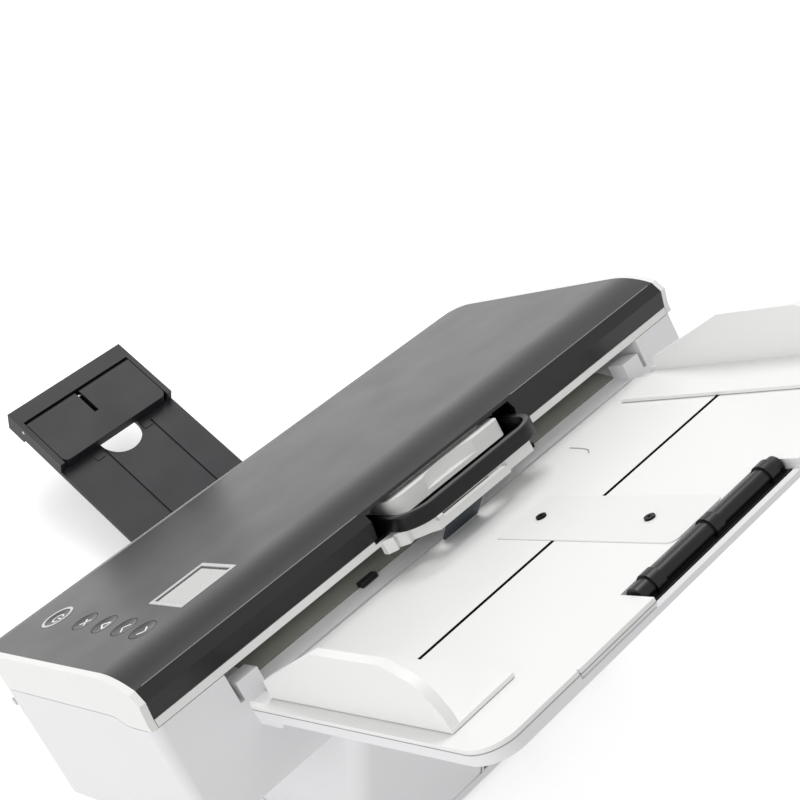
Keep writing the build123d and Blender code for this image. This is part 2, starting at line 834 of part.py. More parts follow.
with BuildPart() as separation_flap:
    flap_side = (
        (frame_bar - flap_root_inner, -frame_bottom),
        (frame_bar - flap_root_outer, -frame_bottom),
        (flap_tip_u, -flap_tip_depth),
        (flap_tip_u - flap_tip_width, -flap_tip_depth + flap_tip_width),
    )
    deck_prism((flap_x - flap_half, flap_x + flap_half), flap_side)
save(separation_flap, "separation_flap")

# Separation roller and idler rollers over the paper path
with BuildPart() as separation_shaft:
    shaft_x = (feed_x - separation_shaft_half, feed_x + separation_shaft_half)
    deck_rod(shaft_x, feed_u, separation_n, small_shaft)
save(separation_shaft, "separation_shaft")

with BuildPart() as separation_tyre:
    tyre_x = (feed_x - separation_tyre_half, feed_x + separation_tyre_half)
    deck_rod(tyre_x, feed_u, separation_n, separation_radius)
    deck_rod(tyre_x, feed_u, separation_n, small_shaft, Mode.SUBTRACT)
save(separation_tyre, "separation_tyre")

with BuildPart() as idler_shaft:
    shaft_reach = idler_half + idler_shaft_over
    deck_rod((feed_x - shaft_reach, feed_x + shaft_reach), exit_u, idler_n, small_shaft)
save(idler_shaft, "idler_shaft")

with BuildPart() as idler_tyres:
    for place in exit_tyre_offsets:
        tyre_x = (feed_x + place - idler_half_width, feed_x + place + idler_half_width)
        deck_rod(tyre_x, exit_u, idler_n, idler_radius)
        deck_rod(tyre_x, exit_u, idler_n, small_shaft, Mode.SUBTRACT)
save(idler_tyres, "idler_tyres")


def housing_block(inset):
    """Gives the shape of the main unit below its seam, or the same shape that much inside it."""
    depth = housing_depth - inset
    with BuildPart() as block:
        with BuildSketch(deck(-depth)) as plan:
            with Locations((0, -deck_length / 2)):
                Rectangle(body_width - 2 * inset, deck_length - 2 * inset)
            fillet(plan.vertices().sort_by(Axis.Y)[:2], band_corner - inset)
            fillet(plan.vertices().sort_by(Axis.Y)[-2:], rear_corner - inset)
        extrude(amount=depth)
        with BuildSketch(across(-half_width)) as side:
            with Locations((-deck_length / 2, -depth / 2)):
                Rectangle(deck_length - 2 * inset, depth)
            fillet(side.vertices().sort_by(Axis.Y)[:2], housing_corner - inset)
        extrude(amount=body_width, mode=Mode.INTERSECT)
    return block.part


def ramp_skin(plane, top, low, far_u):
    """Gives the side view of a skin along the inner half of the paper ramp, between two heights from it."""
    with BuildSketch(plane) as skin:
        with BuildLine():
            Bezier(
                (liner_start, -liner_start_depth + top),
                (-liner_knee[0], -liner_knee[1] + top),
                (-liner_bend_u, -path_floor + top),
                (-ramp_flat_u, -path_floor + top),
            )
            Line((-ramp_flat_u, -path_floor + top), (far_u, -path_floor + top))
            Line((far_u, -path_floor + top), (far_u, -path_floor + low))
            Line((far_u, -path_floor + low), (-ramp_flat_u, -path_floor + low))
            Bezier(
                (-ramp_flat_u, -path_floor + low),
                (-liner_bend_u, -path_floor + low),
                (-liner_knee[0], -liner_knee[1] + low),
                (liner_start, -liner_start_depth + low),
            )
            Line((liner_start, -liner_start_depth + low), (liner_start, -liner_start_depth + top))
        make_face()
    return skin.sketch


# Lower housing of the main unit
throat_x = (feed_x - throat_half, feed_x + throat_half)
guide_end_u = deck_front + 16.8
ear_x_in = half_width - 2 * band_wall - 1
leg_hole = hinge_leg + seam_gap
hinge_foot_u = (hinge_u - hinge_foot_half, hinge_u + hinge_foot_half)
tray_ear_places = (feed_x - tray_ear_offset, feed_x + tray_ear_offset)
housing_screw_places = ((-60, -85), (60, -85), (-60, -22), (60, -22))
inner_half = half_width - housing_wall
floor_n = -housing_depth + housing_wall
feed_n = roller_reach - path_floor - tyre_radius
knuckle_low = tray_hinge_n - tray_knuckle
knuckle_top = tray_hinge_n + tray_knuckle
with BuildPart() as lower_housing:
    outer = housing_block(0)
    add(outer)
    add(housing_block(housing_wall), mode=Mode.SUBTRACT)
    above = seam_outline(across(-half_width), deck_front - 1, seam_gap, 1)
    extrude(above, amount=body_width, mode=Mode.SUBTRACT)
    deck_box(throat_x, (-housing_wall - 0.5, 1), (-tray_drop, 1), Mode.SUBTRACT)
    deck_box((-ear_x_in, ear_x_in), (deck_front - 1, deck_front + 7), (-exit_lip, 1), Mode.SUBTRACT)
    for side in (-1, 1):
        wide = sorted((side * (ear_x_in - 0.3), side * (half_width + 1)))
        deck_box(wide, (deck_front - 1, hinge_u + leg_hole), (hinge_n, 1), Mode.SUBTRACT)
    exit_slope = (
        (deck_front, -exit_lip - exit_slope_skin),
        (deck_front, -exit_lip),
        (guide_end_u - fixed_gap, -path_floor - slot_spare),
        (guide_end_u - fixed_gap, -path_floor - slot_spare - exit_slope_skin),
    )
    deck_prism((-inner_half - 0.5, inner_half + 0.5), exit_slope)
    with BuildSketch(across(throat_x[0] - guide_plate)) as throat_side:
        with BuildLine():
            Bezier(
                (0, -tray_drop),
                (-ramp_knee_u, -tray_drop),
                (-ramp_soft_u, -path_floor),
                (-ramp_flat_u, -path_floor),
            )
            Polyline(
                (-ramp_flat_u, -path_floor),
                (-throat_ramp, -path_floor),
                (-throat_ramp, -lip_n),
                (-ramp_flat_u, -lip_n),
            )
            Bezier(
                (-ramp_flat_u, -lip_n),
                (-ramp_soft_u, -lip_n),
                (-ramp_knee_u, -lip_under_n),
                (0, -lip_under_n),
            )
            Line((0, -lip_under_n), (0, -tray_drop))
        make_face()
    extrude(throat_side.sketch, amount=2 * (throat_half + guide_plate))
    for side in (-1, 1):
        plate_x = sorted((feed_x + side * throat_half, feed_x + side * (throat_half + guide_plate)))
        shoulder_x = sorted((feed_x + side * shoulder_inner, feed_x + side * shoulder_outer))
        ledge_x = sorted((side * (inner_half - 3), side * (inner_half + 0.5)))
        deck_box(plate_x, (-throat_ramp, 0), (-tray_drop, -path_roof + 5))
        deck_box(shoulder_x, (-shoulder_depth, 0), (-18, -shoulder_drop))
        deck_box(ledge_x, (guide_end_u, -5), (-16.5, -lip_n))
        foot_x = sorted((side * ear_x_in, side * (ear_x_in + hinge_ear)))
        root_x = sorted((side * ear_x_in, side * (inner_half + 1)))
        deck_box(foot_x, hinge_foot_u, (-hinge_foot_low, hinge_n))
        deck_box(root_x, hinge_foot_u, (-hinge_foot_low, hinge_n - leg_hole - 0.3))
    add(outer, mode=Mode.INTERSECT)
    for side in (-1, 1):
        narrow = sorted((side * inner_half, side * (half_width + 1)))
        deck_box(narrow, (deck_front - 1, hinge_u + leg_hole), (hinge_n, 1), Mode.SUBTRACT)
        deck_rod(narrow, hinge_u, hinge_n, leg_hole, Mode.SUBTRACT)
        foot_x = sorted((side * ear_x_in, side * (ear_x_in + hinge_ear)))
        deck_rod(foot_x, hinge_u, hinge_n, hinge_foot_half)
        deck_rod(foot_x, hinge_u, hinge_n, pin_radius, Mode.SUBTRACT)
    for place in tray_ear_places:
        wide = (place - tray_ear_width / 2, place + tray_ear_width / 2)
        deck_box(wide, (-1, tray_hinge_u), (knuckle_low, knuckle_top))
        deck_rod(wide, tray_hinge_u, tray_hinge_n, tray_knuckle)
        deck_rod(wide, tray_hinge_u, tray_hinge_n, pin_radius, Mode.SUBTRACT)
    for x, u in housing_screw_places:
        deck_post(x, u, boss_radius, (floor_n - 0.5, floor_n + 5))
        screw_n = (-housing_depth - 1, -housing_depth - base_wall + screw_length)
        deck_post(x, u, screw_radius, screw_n, Mode.SUBTRACT)
    for place in (-feed_tyre_offset, feed_tyre_offset):
        notch_x = (feed_x + place - feed_slot_half, feed_x + place + feed_slot_half)
        notch_u = (-throat_ramp - 1, feed_u + tyre_radius + slot_spare)
        deck_box(notch_x, notch_u, (-20, -10), Mode.SUBTRACT)
    liner_cut_x = (feed_x - liner_half - floor_gap, feed_x + liner_half + floor_gap)
    cut_bottom = liner_thickness + liner_gap
    liner_cut = ramp_skin(across(liner_cut_x[0]), 1.0, -cut_bottom, -throat_ramp - 1)
    extrude(liner_cut, amount=liner_cut_x[1] - liner_cut_x[0], mode=Mode.SUBTRACT)
save(lower_housing, "lower_housing")

# Lower paper guide with its scan window
guide_top = -path_floor
guide_low = guide_top - path_plate
lower_window = (lower_glass_u - glass_width / 2, lower_glass_u + glass_width / 2)
with BuildPart() as lower_paper_guide:
    half = inner_half - fixed_gap
    deck_box((-half, half), (guide_end_u, -throat_ramp - 0.2), (guide_low, guide_top))
    for side in (-1, 1):
        wing_x = sorted((side * half, feed_x + side * (throat_half + guide_plate + fixed_gap)))
        deck_box(wing_x, (-throat_ramp - 1, -rear_corner), (guide_low, guide_top))
    liner = ramp_skin(across(feed_x - liner_half), 0.0, -liner_thickness, -throat_ramp - 1)
    extrude(liner, amount=2 * liner_half)
    nose_u = (liner_start - 1, liner_start + fixed_gap)
    liner_x = (feed_x - liner_half, feed_x + liner_half)
    deck_box(liner_x, nose_u, (guide_low - 5, guide_top), Mode.SUBTRACT)
    deck_box(glass_x, lower_window, (guide_low - 1, guide_top + 1), Mode.SUBTRACT)
    for place in (-feed_tyre_offset, feed_tyre_offset):
        cut_x = (feed_x + place - feed_slot_half, feed_x + place + feed_slot_half)
        cut_u = (feed_u - feed_slot_front, feed_u + tyre_radius + slot_spare)
        deck_box(cut_x, cut_u, (guide_low - 1, guide_top + 1), Mode.SUBTRACT)
    for place in exit_tyre_offsets:
        cut_x = (feed_x + place - exit_slot_half_x, feed_x + place + exit_slot_half_x)
        cut_u = (exit_u - exit_slot_half, exit_u + exit_slot_half)
        deck_box(cut_x, cut_u, (guide_low - 1, guide_top + 1), Mode.SUBTRACT)
save(lower_paper_guide, "lower_paper_guide")

with BuildPart() as lower_scan_glass:
    pane_x = (glass_x[0] + floor_gap, glass_x[1] - floor_gap)
    pane_u = (lower_window[0] + floor_gap, lower_window[1] - floor_gap)
    deck_box(pane_x, pane_u, (guide_low, guide_top - 0.1))
save(lower_scan_glass, "lower_scan_glass")

with BuildPart() as lower_image_sensor:
    sensor_u = (lower_glass_u - sensor_width / 2, lower_glass_u + sensor_width / 2)
    deck_box((glass_x[0] - 2, glass_x[1] + 2), sensor_u, (guide_low - sensor_height, guide_low))
save(lower_image_sensor, "lower_image_sensor")

# Feed shaft and exit shaft with their bearings, tyres and drive
drive_bearing_x = belt_x - 13.0
feed_bearing_x = -46.0
exit_bearing_x = -109.0
bearing_places = (
    (feed_u, feed_bearing_x),
    (feed_u, drive_bearing_x),
    (exit_u, exit_bearing_x),
    (exit_u, drive_bearing_x),
)
with BuildPart() as shaft_bearings:
    for u, x in bearing_places:
        block_x = (x, x + bearing_width)
        deck_box(block_x, (u - bearing_half, u + bearing_half), (floor_n, guide_low - 0.4))
        deck_rod(block_x, u, feed_n, shaft_radius + shaft_gap, Mode.SUBTRACT)
save(shaft_bearings, "shaft_bearings")

shaft_end = belt_x + belt_width + 1.0
with BuildPart() as feed_shaft:
    deck_rod((feed_bearing_x - 4, shaft_end), feed_u, feed_n, shaft_radius)
save(feed_shaft, "feed_shaft")

with BuildPart() as exit_shaft:
    deck_rod((exit_bearing_x - 3, shaft_end), exit_u, feed_n, shaft_radius)
save(exit_shaft, "exit_shaft")

with BuildPart() as feed_tyres:
    for place in (-feed_tyre_offset, feed_tyre_offset):
        tyre_x = (feed_x + place - feed_tyre_width / 2, feed_x + place + feed_tyre_width / 2)
        deck_rod(tyre_x, feed_u, feed_n, tyre_radius)
        deck_rod(tyre_x, feed_u, feed_n, shaft_radius, Mode.SUBTRACT)
save(feed_tyres, "feed_tyres")

with BuildPart() as exit_tyres:
    for place in exit_tyre_offsets:
        tyre_x = (feed_x + place - exit_tyre_width / 2, feed_x + place + exit_tyre_width / 2)
        deck_rod(tyre_x, exit_u, feed_n, tyre_radius)
        deck_rod(tyre_x, exit_u, feed_n, shaft_radius, Mode.SUBTRACT)
save(exit_tyres, "exit_tyres")

motor_shaft = 1.5


def make_pulley(u, n, radius, bore):
    """Gives a flanged belt pulley."""
    low, high = belt_x - 0.5, belt_x + belt_width + 1.5
    with BuildPart() as pulley:
        deck_rod((low, high), u, n, radius)
        deck_rod((low, low + pulley_flange), u, n, radius + pulley_rim)
        deck_rod((high - pulley_flange, high), u, n, radius + pulley_rim)
        deck_rod((low, high), u, n, bore, Mode.SUBTRACT)
    return pulley


save(make_pulley(feed_u, feed_n, feed_pulley_radius, shaft_radius), "feed_pulley")
save(make_pulley(exit_u, feed_n, exit_pulley_radius, shaft_radius), "exit_pulley")
save(make_pulley(motor_u, motor_n, motor_pulley_radius, motor_shaft), "motor_pulley")

with BuildPart() as drive_motor:
    motor_face = motor_back_x + motor_length
    motor_half = motor_size / 2
    motor_x = (motor_face - motor_length, motor_face)
    block_u = (motor_u - motor_half, motor_u + motor_half)
    block_n = (motor_n - motor_half, motor_n + motor_half)
    deck_box(motor_x, block_u, block_n)
save(drive_motor, "drive_motor")

with BuildPart() as motor_axle:
    deck_rod((motor_face + 0.2, shaft_end), motor_u, motor_n, motor_shaft)
save(motor_axle, "motor_axle")

wheels = (
    (feed_u, feed_n, feed_pulley_radius),
    (exit_u, feed_n, exit_pulley_radius),
    (motor_u, motor_n, motor_pulley_radius),
)
with BuildPart() as drive_belt:
    belt_side = across(belt_x + 0.5)
    with BuildSketch(belt_side) as belt_outer:
        for u, n, radius in wheels:
            with Locations((u, n)):
                Circle(radius + belt_gap + belt_thickness)
        make_hull()
    extrude(amount=belt_width)
    with BuildSketch(belt_side) as belt_inner:
        for u, n, radius in wheels:
            with Locations((u, n)):
                Circle(radius + belt_gap)
        make_hull()
    extrude(amount=belt_width, mode=Mode.SUBTRACT)
save(drive_belt, "drive_belt")

# Base: plinth, pedestal and tower in one shell
def base_point(u, n):
    """Gives y and z of a point of the deck's side view."""
    place = deck_point(0, u, n)
    return (place.Y, place.Z)


seat_n = -tray_belly_depth - tray_seat_gap
seat_end_u = (base_rear + seat_n * tilt_sin) / tilt_cos
cradle = housing_corner + seam_gap
cradle_u = fixed_gap - housing_corner
cradle_n = -housing_depth + cradle
rear_y = deck_y + base_rear
plinth_y = deck_y - base_front
pivot_y = deck_y - out_pivot_y


def base_block(inset):
    """Gives the base's outer shape, or the same shape that much inside it."""
    low = foot_height
    bend = cradle / sqrt(2)
    with BuildPart() as block:
        with BuildSketch(upright(-base_half)) as side:
            with BuildLine():
                Polyline(
                    base_point(cradle_u, -housing_depth),
                    base_point(pedestal_u, -housing_depth),
                    (deck_y - pedestal_foot, plinth_height),
                    (plinth_y, plinth_height),
                    (plinth_y, low),
                    (rear_y, low),
                    base_point(seat_end_u, seat_n),
                    base_point(cradle_u + cradle, seat_n),
                    base_point(cradle_u + cradle, cradle_n),
                )
                ThreePointArc(
                    base_point(cradle_u + cradle, cradle_n),
                    base_point(cradle_u + bend, cradle_n - bend),
                    base_point(cradle_u, -housing_depth),
                )
            make_face()
            if inset:
                offset(amount=-inset, kind=Kind.INTERSECTION)
        extrude(amount=2 * base_half)
        if inset:
            foot_y = (plinth_y + inset, rear_y - inset)
            level_box((-base_half, base_half), foot_y, (low - 1, low + inset + 1))
        with BuildSketch(Plane.XY) as plan:
            with Locations((0, (rear_y + plinth_y) / 2)):
                RectangleRounded(2 * (base_half - inset), rear_y - plinth_y - 2 * inset, base_corner - inset)
        extrude(amount=deck_height + tray_end, mode=Mode.INTERSECT)
    return block.part


base_post_x = base_half - 7
base_post_places = [(x, y) for x in (-base_post_x, base_post_x) for y in (plinth_y + 7, rear_y - 7)]
pocket_half = out_half + out_gap
pocket_low = out_pivot_z - out_knuckle - 0.3
plate_top = foot_height + floor_plate
board_low = plate_top + board_lift
socket_low = board_low + board_thickness
out_pin_x = (out_half - 9, pocket_half + out_ear_width - 0.5)
with BuildPart() as base_housing:
    add(base_block(0))
    add(base_block(base_wall), mode=Mode.SUBTRACT)
    block_half = pocket_half + out_ear_width
    pocket_back = deck_y - out_pocket
    level_box((-block_half, block_half), (plinth_y, pocket_back + base_wall), (plate_top, plinth_height))
    hollow_z = (pocket_low, plinth_height + 1)
    level_box((-pocket_half, pocket_half), (plinth_y - 1, pocket_back), hollow_z, Mode.SUBTRACT)
    for x, y in base_post_places:
        level_post(x, y, boss_radius, (plate_top, plate_top + 12))
    for x, y in base_post_places:
        level_post(x, y, screw_radius, (plate_top - 1, plate_top + screw_length), Mode.SUBTRACT)
    for x, u in housing_screw_places:
        deck_post(x, u, screw_radius, (-housing_depth - base_wall - 1, -housing_depth + 1), Mode.SUBTRACT)
    for x in (power_x, usb_x):
        hole_x = (x - socket_width / 2 - floor_gap, x + socket_width / 2 + floor_gap)
        hole_z = (socket_low - floor_gap, socket_low + socket_height + floor_gap)
        level_box(hole_x, (rear_y - base_wall - 1, rear_y + 1), hole_z, Mode.SUBTRACT)
    with BuildSketch(Plane.XY.offset(seam_low)) as seam_plan:
        with Locations((0, (rear_y + plinth_y) / 2)):
            RectangleRounded(2 * base_half + 2, rear_y - plinth_y + 2, base_corner + 1)
            inner_width = 2 * (base_half - seam_depth)
            inner_length = rear_y - plinth_y - 2 * seam_depth
            RectangleRounded(inner_width, inner_length, base_corner - seam_depth, mode=Mode.SUBTRACT)
    extrude(amount=seam_high - seam_low, mode=Mode.SUBTRACT)
    with BuildSketch(upright(-block_half - 1)) as pin_side:
        with Locations((pivot_y, out_pivot_z)):
            Circle(pin_radius)
    extrude(pin_side.sketch, amount=2 * block_half + 2, mode=Mode.SUBTRACT)
save(base_housing, "base_housing")

with BuildPart() as base_bottom_plate:
    with BuildSketch(Plane.XY.offset(foot_height)) as plate_plan:
        with Locations((0, (rear_y + plinth_y) / 2)):
            inset = base_wall + floor_gap
            RectangleRounded(2 * (base_half - inset), rear_y - plinth_y - 2 * inset, base_corner - inset)
    extrude(amount=floor_plate)
    for x in (-board_half + 5, board_half - 5):
        for y in (rear_y - 60, rear_y - 30):
            level_post(x, y, 3.0, (plate_top, board_low))
    for x, y in base_post_places:
        level_post(x, y, screw_head, (foot_height, foot_height + screw_head_height), Mode.SUBTRACT)
        level_post(x, y, screw_radius, (foot_height, plate_top + 1), Mode.SUBTRACT)
save(base_bottom_plate, "base_bottom_plate")

with BuildPart() as housing_screws:
    for x, u in housing_screw_places:
        low = -housing_depth - base_wall
        deck_post(x, u, screw_head, (low - screw_head_height, low))
        deck_post(x, u, screw_radius, (low, low + screw_length))
        deck_post(x, u, screw_radius / 2, (low - screw_head_height - 1, low - 1), Mode.SUBTRACT)
    for x, y in base_post_places:
        low = foot_height + screw_head_height
        level_post(x, y, screw_head, (foot_height, low))
        level_post(x, y, screw_radius, (low, low + screw_length - 1.5))
        level_post(x, y, screw_radius / 2, (foot_height - 1, low - 0.9), Mode.SUBTRACT)
save(housing_screws, "housing_screws")

with BuildPart() as rubber_feet:
    for x in (-base_half + foot_inset, base_half - foot_inset):
        for y in (plinth_y + foot_inset, rear_y - foot_inset):
            level_post(x, y, foot_radius, (0, foot_height))
save(rubber_feet, "rubber_feet")

with BuildPart() as main_board:
    level_box((-board_half, board_half), (rear_y - 68, rear_y - base_wall - 1), (board_low, socket_low))
save(main_board, "main_board")


def make_socket(x, tongue_x, tongue_z):
    """Gives a socket on the board, open to the rear, with the tongue or pin that stands in it."""
    with BuildPart() as socket:
        face = rear_y + socket_proud
        half = socket_width / 2
        top = socket_low + socket_height
        level_box((x - half, x + half), (face - socket_depth, face), (socket_low, top))
        hollow_x = (x - half + socket_wall, x + half - socket_wall)
        hollow_z = (socket_low + socket_wall, top - socket_wall)
        level_box(hollow_x, (face - socket_hollow, face + 1), hollow_z, Mode.SUBTRACT)
        middle = (socket_low + top) / 2
        tongue_y = (face - socket_hollow - 1, face - socket_hollow / 2)
        level_box((x - tongue_x, x + tongue_x), tongue_y, (middle - tongue_z, middle + tongue_z))
    return socket


save(make_socket(power_x, 1.0, 1.0), "power_inlet")
save(make_socket(usb_x, 2.4, 1.2), "usb_port")

# Pins of the cover hinge, of the input tray's hinge and of the output tray's hinge
with BuildPart() as hinge_pins:
    for side in (-1, 1):
        cover_pin = sorted((side * ear_x_in, side * (half_width - 0.4)))
        deck_rod(cover_pin, hinge_u, hinge_n, pin_radius)
        ear = feed_x + side * tray_ear_offset
        tray_pin = sorted((ear - side * (tray_ear_width / 2 + 9), ear + side * tray_ear_width / 2))
        deck_rod(tray_pin, tray_hinge_u, tray_hinge_n, pin_radius)
        out_pin = sorted((side * out_pin_x[0], side * out_pin_x[1]))
        with BuildSketch(upright(out_pin[0])) as pin_side:
            with Locations((pivot_y, out_pivot_z)):
                Circle(pin_radius)
        extrude(pin_side.sketch, amount=out_pin[1] - out_pin[0])
save(hinge_pins, "hinge_pins")


def tray_plan(n, inset=0.0):
    """Gives the input tray's outline, with its rounded outer corners."""
    with BuildSketch(deck(n)) as plan:
        with Locations((feed_x, (tray_start + tray_end) / 2)):
            Rectangle(2 * (tray_half - inset), tray_end - tray_start - 2 * inset)
        fillet(plan.vertices().sort_by(Axis.Y)[:2], tray_nose_corner - inset)
        fillet(plan.vertices().sort_by(Axis.Y)[-2:], tray_corner - inset)
    return plan.sketch


# Input tray: flat top and hollow underside
tray_top_n = -tray_drop
tray_under_n = tray_top_n - tray_skin
notch_x = (rest_low_x - 1, rest_high_x + 1)
panel_end_places = [(x - panel_line, x) for x in (notch_x[0] - panel_reach, notch_x[1] + panel_reach)]
notch_u = rod_u - rest_ring - rest_notch_gap
ear_clear = tray_ear_width / 2 + tray_ear_gap
with BuildPart() as tray_top:
    extrude(tray_plan(tray_under_n), amount=tray_skin)
    for place in tray_ear_places:
        cut_x = (place - ear_clear, place + ear_clear)
        deck_box(cut_x, (0, tray_hinge_u), (tray_under_n - 1, tray_top_n + 1), Mode.SUBTRACT)
    for side in (-1, 1):
        cut_x = sorted((feed_x + side * slot_inner, feed_x + side * slot_outer))
        cut_u = (slot_u - slot_width / 2, slot_u + slot_width / 2)
        deck_box(cut_x, cut_u, (tray_under_n - 1, tray_top_n + 1), Mode.SUBTRACT)
    deck_box(notch_x, (notch_u, tray_end + 1), (tray_under_n - 1, tray_top_n + 1), Mode.SUBTRACT)
    for u in plate_screw_places:
        deck_post(feed_x, u, screw_radius, (tray_under_n - 1, tray_top_n + 1), Mode.SUBTRACT)
    edge_u = (tray_end - panel_line_depth, tray_end + 1)
    for end_x in panel_end_places:
        deck_box(end_x, edge_u, (tray_under_n - 1, tray_top_n + 1), Mode.SUBTRACT)
save(tray_top, "tray_top")

rim_low = -tray_rim_depth
belly_low = -tray_belly_depth
belly_half = tray_half - tray_belly_inset
with BuildPart() as tray_bottom:
    extrude(tray_plan(rim_low), amount=tray_under_n - rim_low)
    extrude(tray_plan(rim_low + tray_skin, tray_wall), amount=tray_skin + 1, mode=Mode.SUBTRACT)
    block_x = (notch_x[0] - tray_wall, notch_x[1] + tray_wall)
    strip_u = tray_end - rest_strip
    deck_box(block_x, (notch_u - tray_wall, tray_end), (rim_low, tray_under_n))
    deck_box(notch_x, (notch_u, strip_u), (rim_low - 1, tray_under_n + 1), Mode.SUBTRACT)
    deck_box(notch_x, (notch_u, tray_end + 1), (rest_strip_top, tray_under_n + 1), Mode.SUBTRACT)
    belly_x = (feed_x - belly_half, feed_x + belly_half)
    deck_box(belly_x, (tray_belly_start, tray_belly_end), (belly_low, rim_low + tray_skin))
    inner_x = (belly_x[0] + tray_wall, belly_x[1] - tray_wall)
    inner_u = (tray_belly_start + tray_wall, tray_belly_end - tray_wall)
    deck_box(inner_x, inner_u, (belly_low + tray_skin, tray_under_n + 1), Mode.SUBTRACT)
    for place in tray_ear_places:
        cut_x = (place - ear_clear, place + ear_clear)
        deck_box(cut_x, (0, tray_hinge_u + tray_knuckle + 0.5), (rim_low - 1, tray_under_n), Mode.SUBTRACT)
        inward = 1 if place < feed_x else -1
        barrel_x = sorted((place + inward * ear_clear, place + inward * (ear_clear + 9)))
        deck_rod(barrel_x, tray_hinge_u, tray_hinge_n, tray_knuckle)
        deck_rod(barrel_x, tray_hinge_u, tray_hinge_n, pin_radius + shaft_gap, Mode.SUBTRACT)
    deck_post(feed_x, slot_u, pinion_shoulder, (belly_low + tray_skin - 0.5, -rack_bottom - 0.2))
    deck_post(feed_x, slot_u, pinion_post, (belly_low + tray_skin, tray_under_n))
    for u in plate_screw_places:
        deck_post(feed_x, u, boss_radius, (belly_low + tray_skin - 0.5, tray_under_n))
        deck_post(feed_x, u, screw_radius, (belly_low + tray_skin, tray_under_n + 1), Mode.SUBTRACT)
    for end_x in panel_end_places:
        deck_box(end_x, edge_u, (panel_line_n, tray_under_n + 1), Mode.SUBTRACT)
    line_x = (panel_end_places[0][0], panel_end_places[1][1])
    deck_box(line_x, edge_u, (panel_line_n, panel_line_n + panel_line), Mode.SUBTRACT)
    for place in rest_lug_places:
        lug_x = (place - rest_lug_width / 2, place + rest_lug_width / 2)
        deck_box(lug_x, (tray_belly_end - 1, rod_u + rest_lug_arm), (rest_lug_low, rest_lug_floor))
        deck_box(lug_x, (rod_u - rest_lug_arm, rod_u + rest_lug_arm), (rest_lug_low, rod_n))
        deck_rod(lug_x, rod_u, rod_n, rest_lug)
        deck_rod(lug_x, rod_u, rod_n, rod_radius, Mode.SUBTRACT)
save(tray_bottom, "tray_bottom")

with BuildPart() as centre_plate:
    with BuildSketch(deck(tray_top_n)) as strip_plan:
        with Locations((feed_x, (plate_start + plate_end) / 2)):
            Rectangle(2 * plate_half, plate_end - plate_start)
        fillet(strip_plan.vertices().sort_by(Axis.Y)[-2:], plate_corner)
    extrude(amount=plate_thickness)
    for u in plate_screw_places:
        deck_post(feed_x, u, screw_radius, (tray_top_n - 1, tray_top_n + 2), Mode.SUBTRACT)
save(centre_plate, "centre_plate")

with BuildPart() as plate_screws:
    for u in plate_screw_places:
        strip_top = tray_top_n + plate_thickness
        deck_post(feed_x, u, plate_screw_radius, (strip_top, strip_top + 0.8))
        deck_post(feed_x, u, screw_radius, (strip_top - screw_length, strip_top))
        deck_post(feed_x, u, screw_radius / 2, (strip_top + 0.3, strip_top + 2), Mode.SUBTRACT)
save(plate_screws, "plate_screws")

with BuildPart() as flap_rod:
    rod_x = (rest_ring_places[2] - rest_ring_width / 2, rest_ring_places[0] + rest_ring_width / 2)
    deck_rod(rod_x, rod_u, rod_n, rod_radius)
save(flap_rod, "flap_rod")

with BuildPart() as rest_flap:
    rest_x = (rest_low_x, rest_high_x)
    deck_rod(rest_x, rod_u, rod_n, rest_barrel)
    plate_n = (rod_n - rest_plate_bottom, rod_n - rest_plate_top)
    deck_box(rest_x, (rod_u, rod_u + rest_reach), plate_n)
    for place in rest_ring_places:
        deck_rod((place - rest_ring_width / 2, place + rest_ring_width / 2), rod_u, rod_n, rest_ring)
    for place in rest_lug_places:
        clear_half = rest_lug_width / 2 + rest_lug_play
        clear_x = (place - clear_half, place + clear_half)
        clear_u = (rod_u - rest_ring, rod_u + rest_lug_clear)
        clear_n = (rod_n - rest_ring, rod_n + rest_lug_clear)
        deck_box(clear_x, clear_u, clear_n, Mode.SUBTRACT)
        deck_rod(clear_x, rod_u, rod_n, rest_lug + rest_lug_play, Mode.SUBTRACT)
    deck_rod(rest_x, rod_u, rod_n, rod_radius + shaft_gap, Mode.SUBTRACT)
save(rest_flap, "rest_flap")

# Rack and pinion under the tray, which carry both guides the same way
pitch_radius = gear_module * gear_teeth / 2
pitch = pi * gear_module
tooth_tan = tan(radians(tooth_angle))
half_tooth = pitch / 4 - tooth_play / 4
base_radius = pitch_radius * cos(radians(tooth_angle))
flank_turn = tooth_tan - radians(tooth_angle)


def tooth_half_angle(radius):
    """Gives half a gear tooth's angle at a radius, along its involute flank."""
    turn = acos(base_radius / radius)
    return half_tooth / pitch_radius + flank_turn - (tan(turn) - turn)


def gear_points():
    """Gives the outline of the pinion, with a tooth space on the slot's side."""
    root = pitch_radius - tooth_root
    tip = pitch_radius + tooth_tip
    steps = (base_radius + 0.001, base_radius + 0.4, pitch_radius + 0.3, tip)
    flank = [(root, tooth_half_angle(steps[0]))] + [(r, tooth_half_angle(r)) for r in steps]
    points = []
    for number in range(gear_teeth):
        middle = 2 * pi * (number + 0.5) / gear_teeth
        tooth = [(r, middle - half) for r, half in flank]
        tooth += [(r, middle + half) for r, half in reversed(flank)]
        points += [(feed_x + r * cos(turn), slot_u + r * sin(turn)) for r, turn in tooth]
    return points


with BuildPart() as guide_pinion:
    with BuildSketch(deck(-rack_bottom)) as gear_plan:
        with BuildLine():
            Polyline(*gear_points(), close=True)
        make_face()
        with Locations((feed_x, slot_u)):
            Circle(pinion_post + shaft_gap, mode=Mode.SUBTRACT)
    extrude(amount=rack_bottom - rack_top - 0.4)
save(guide_pinion, "guide_pinion")


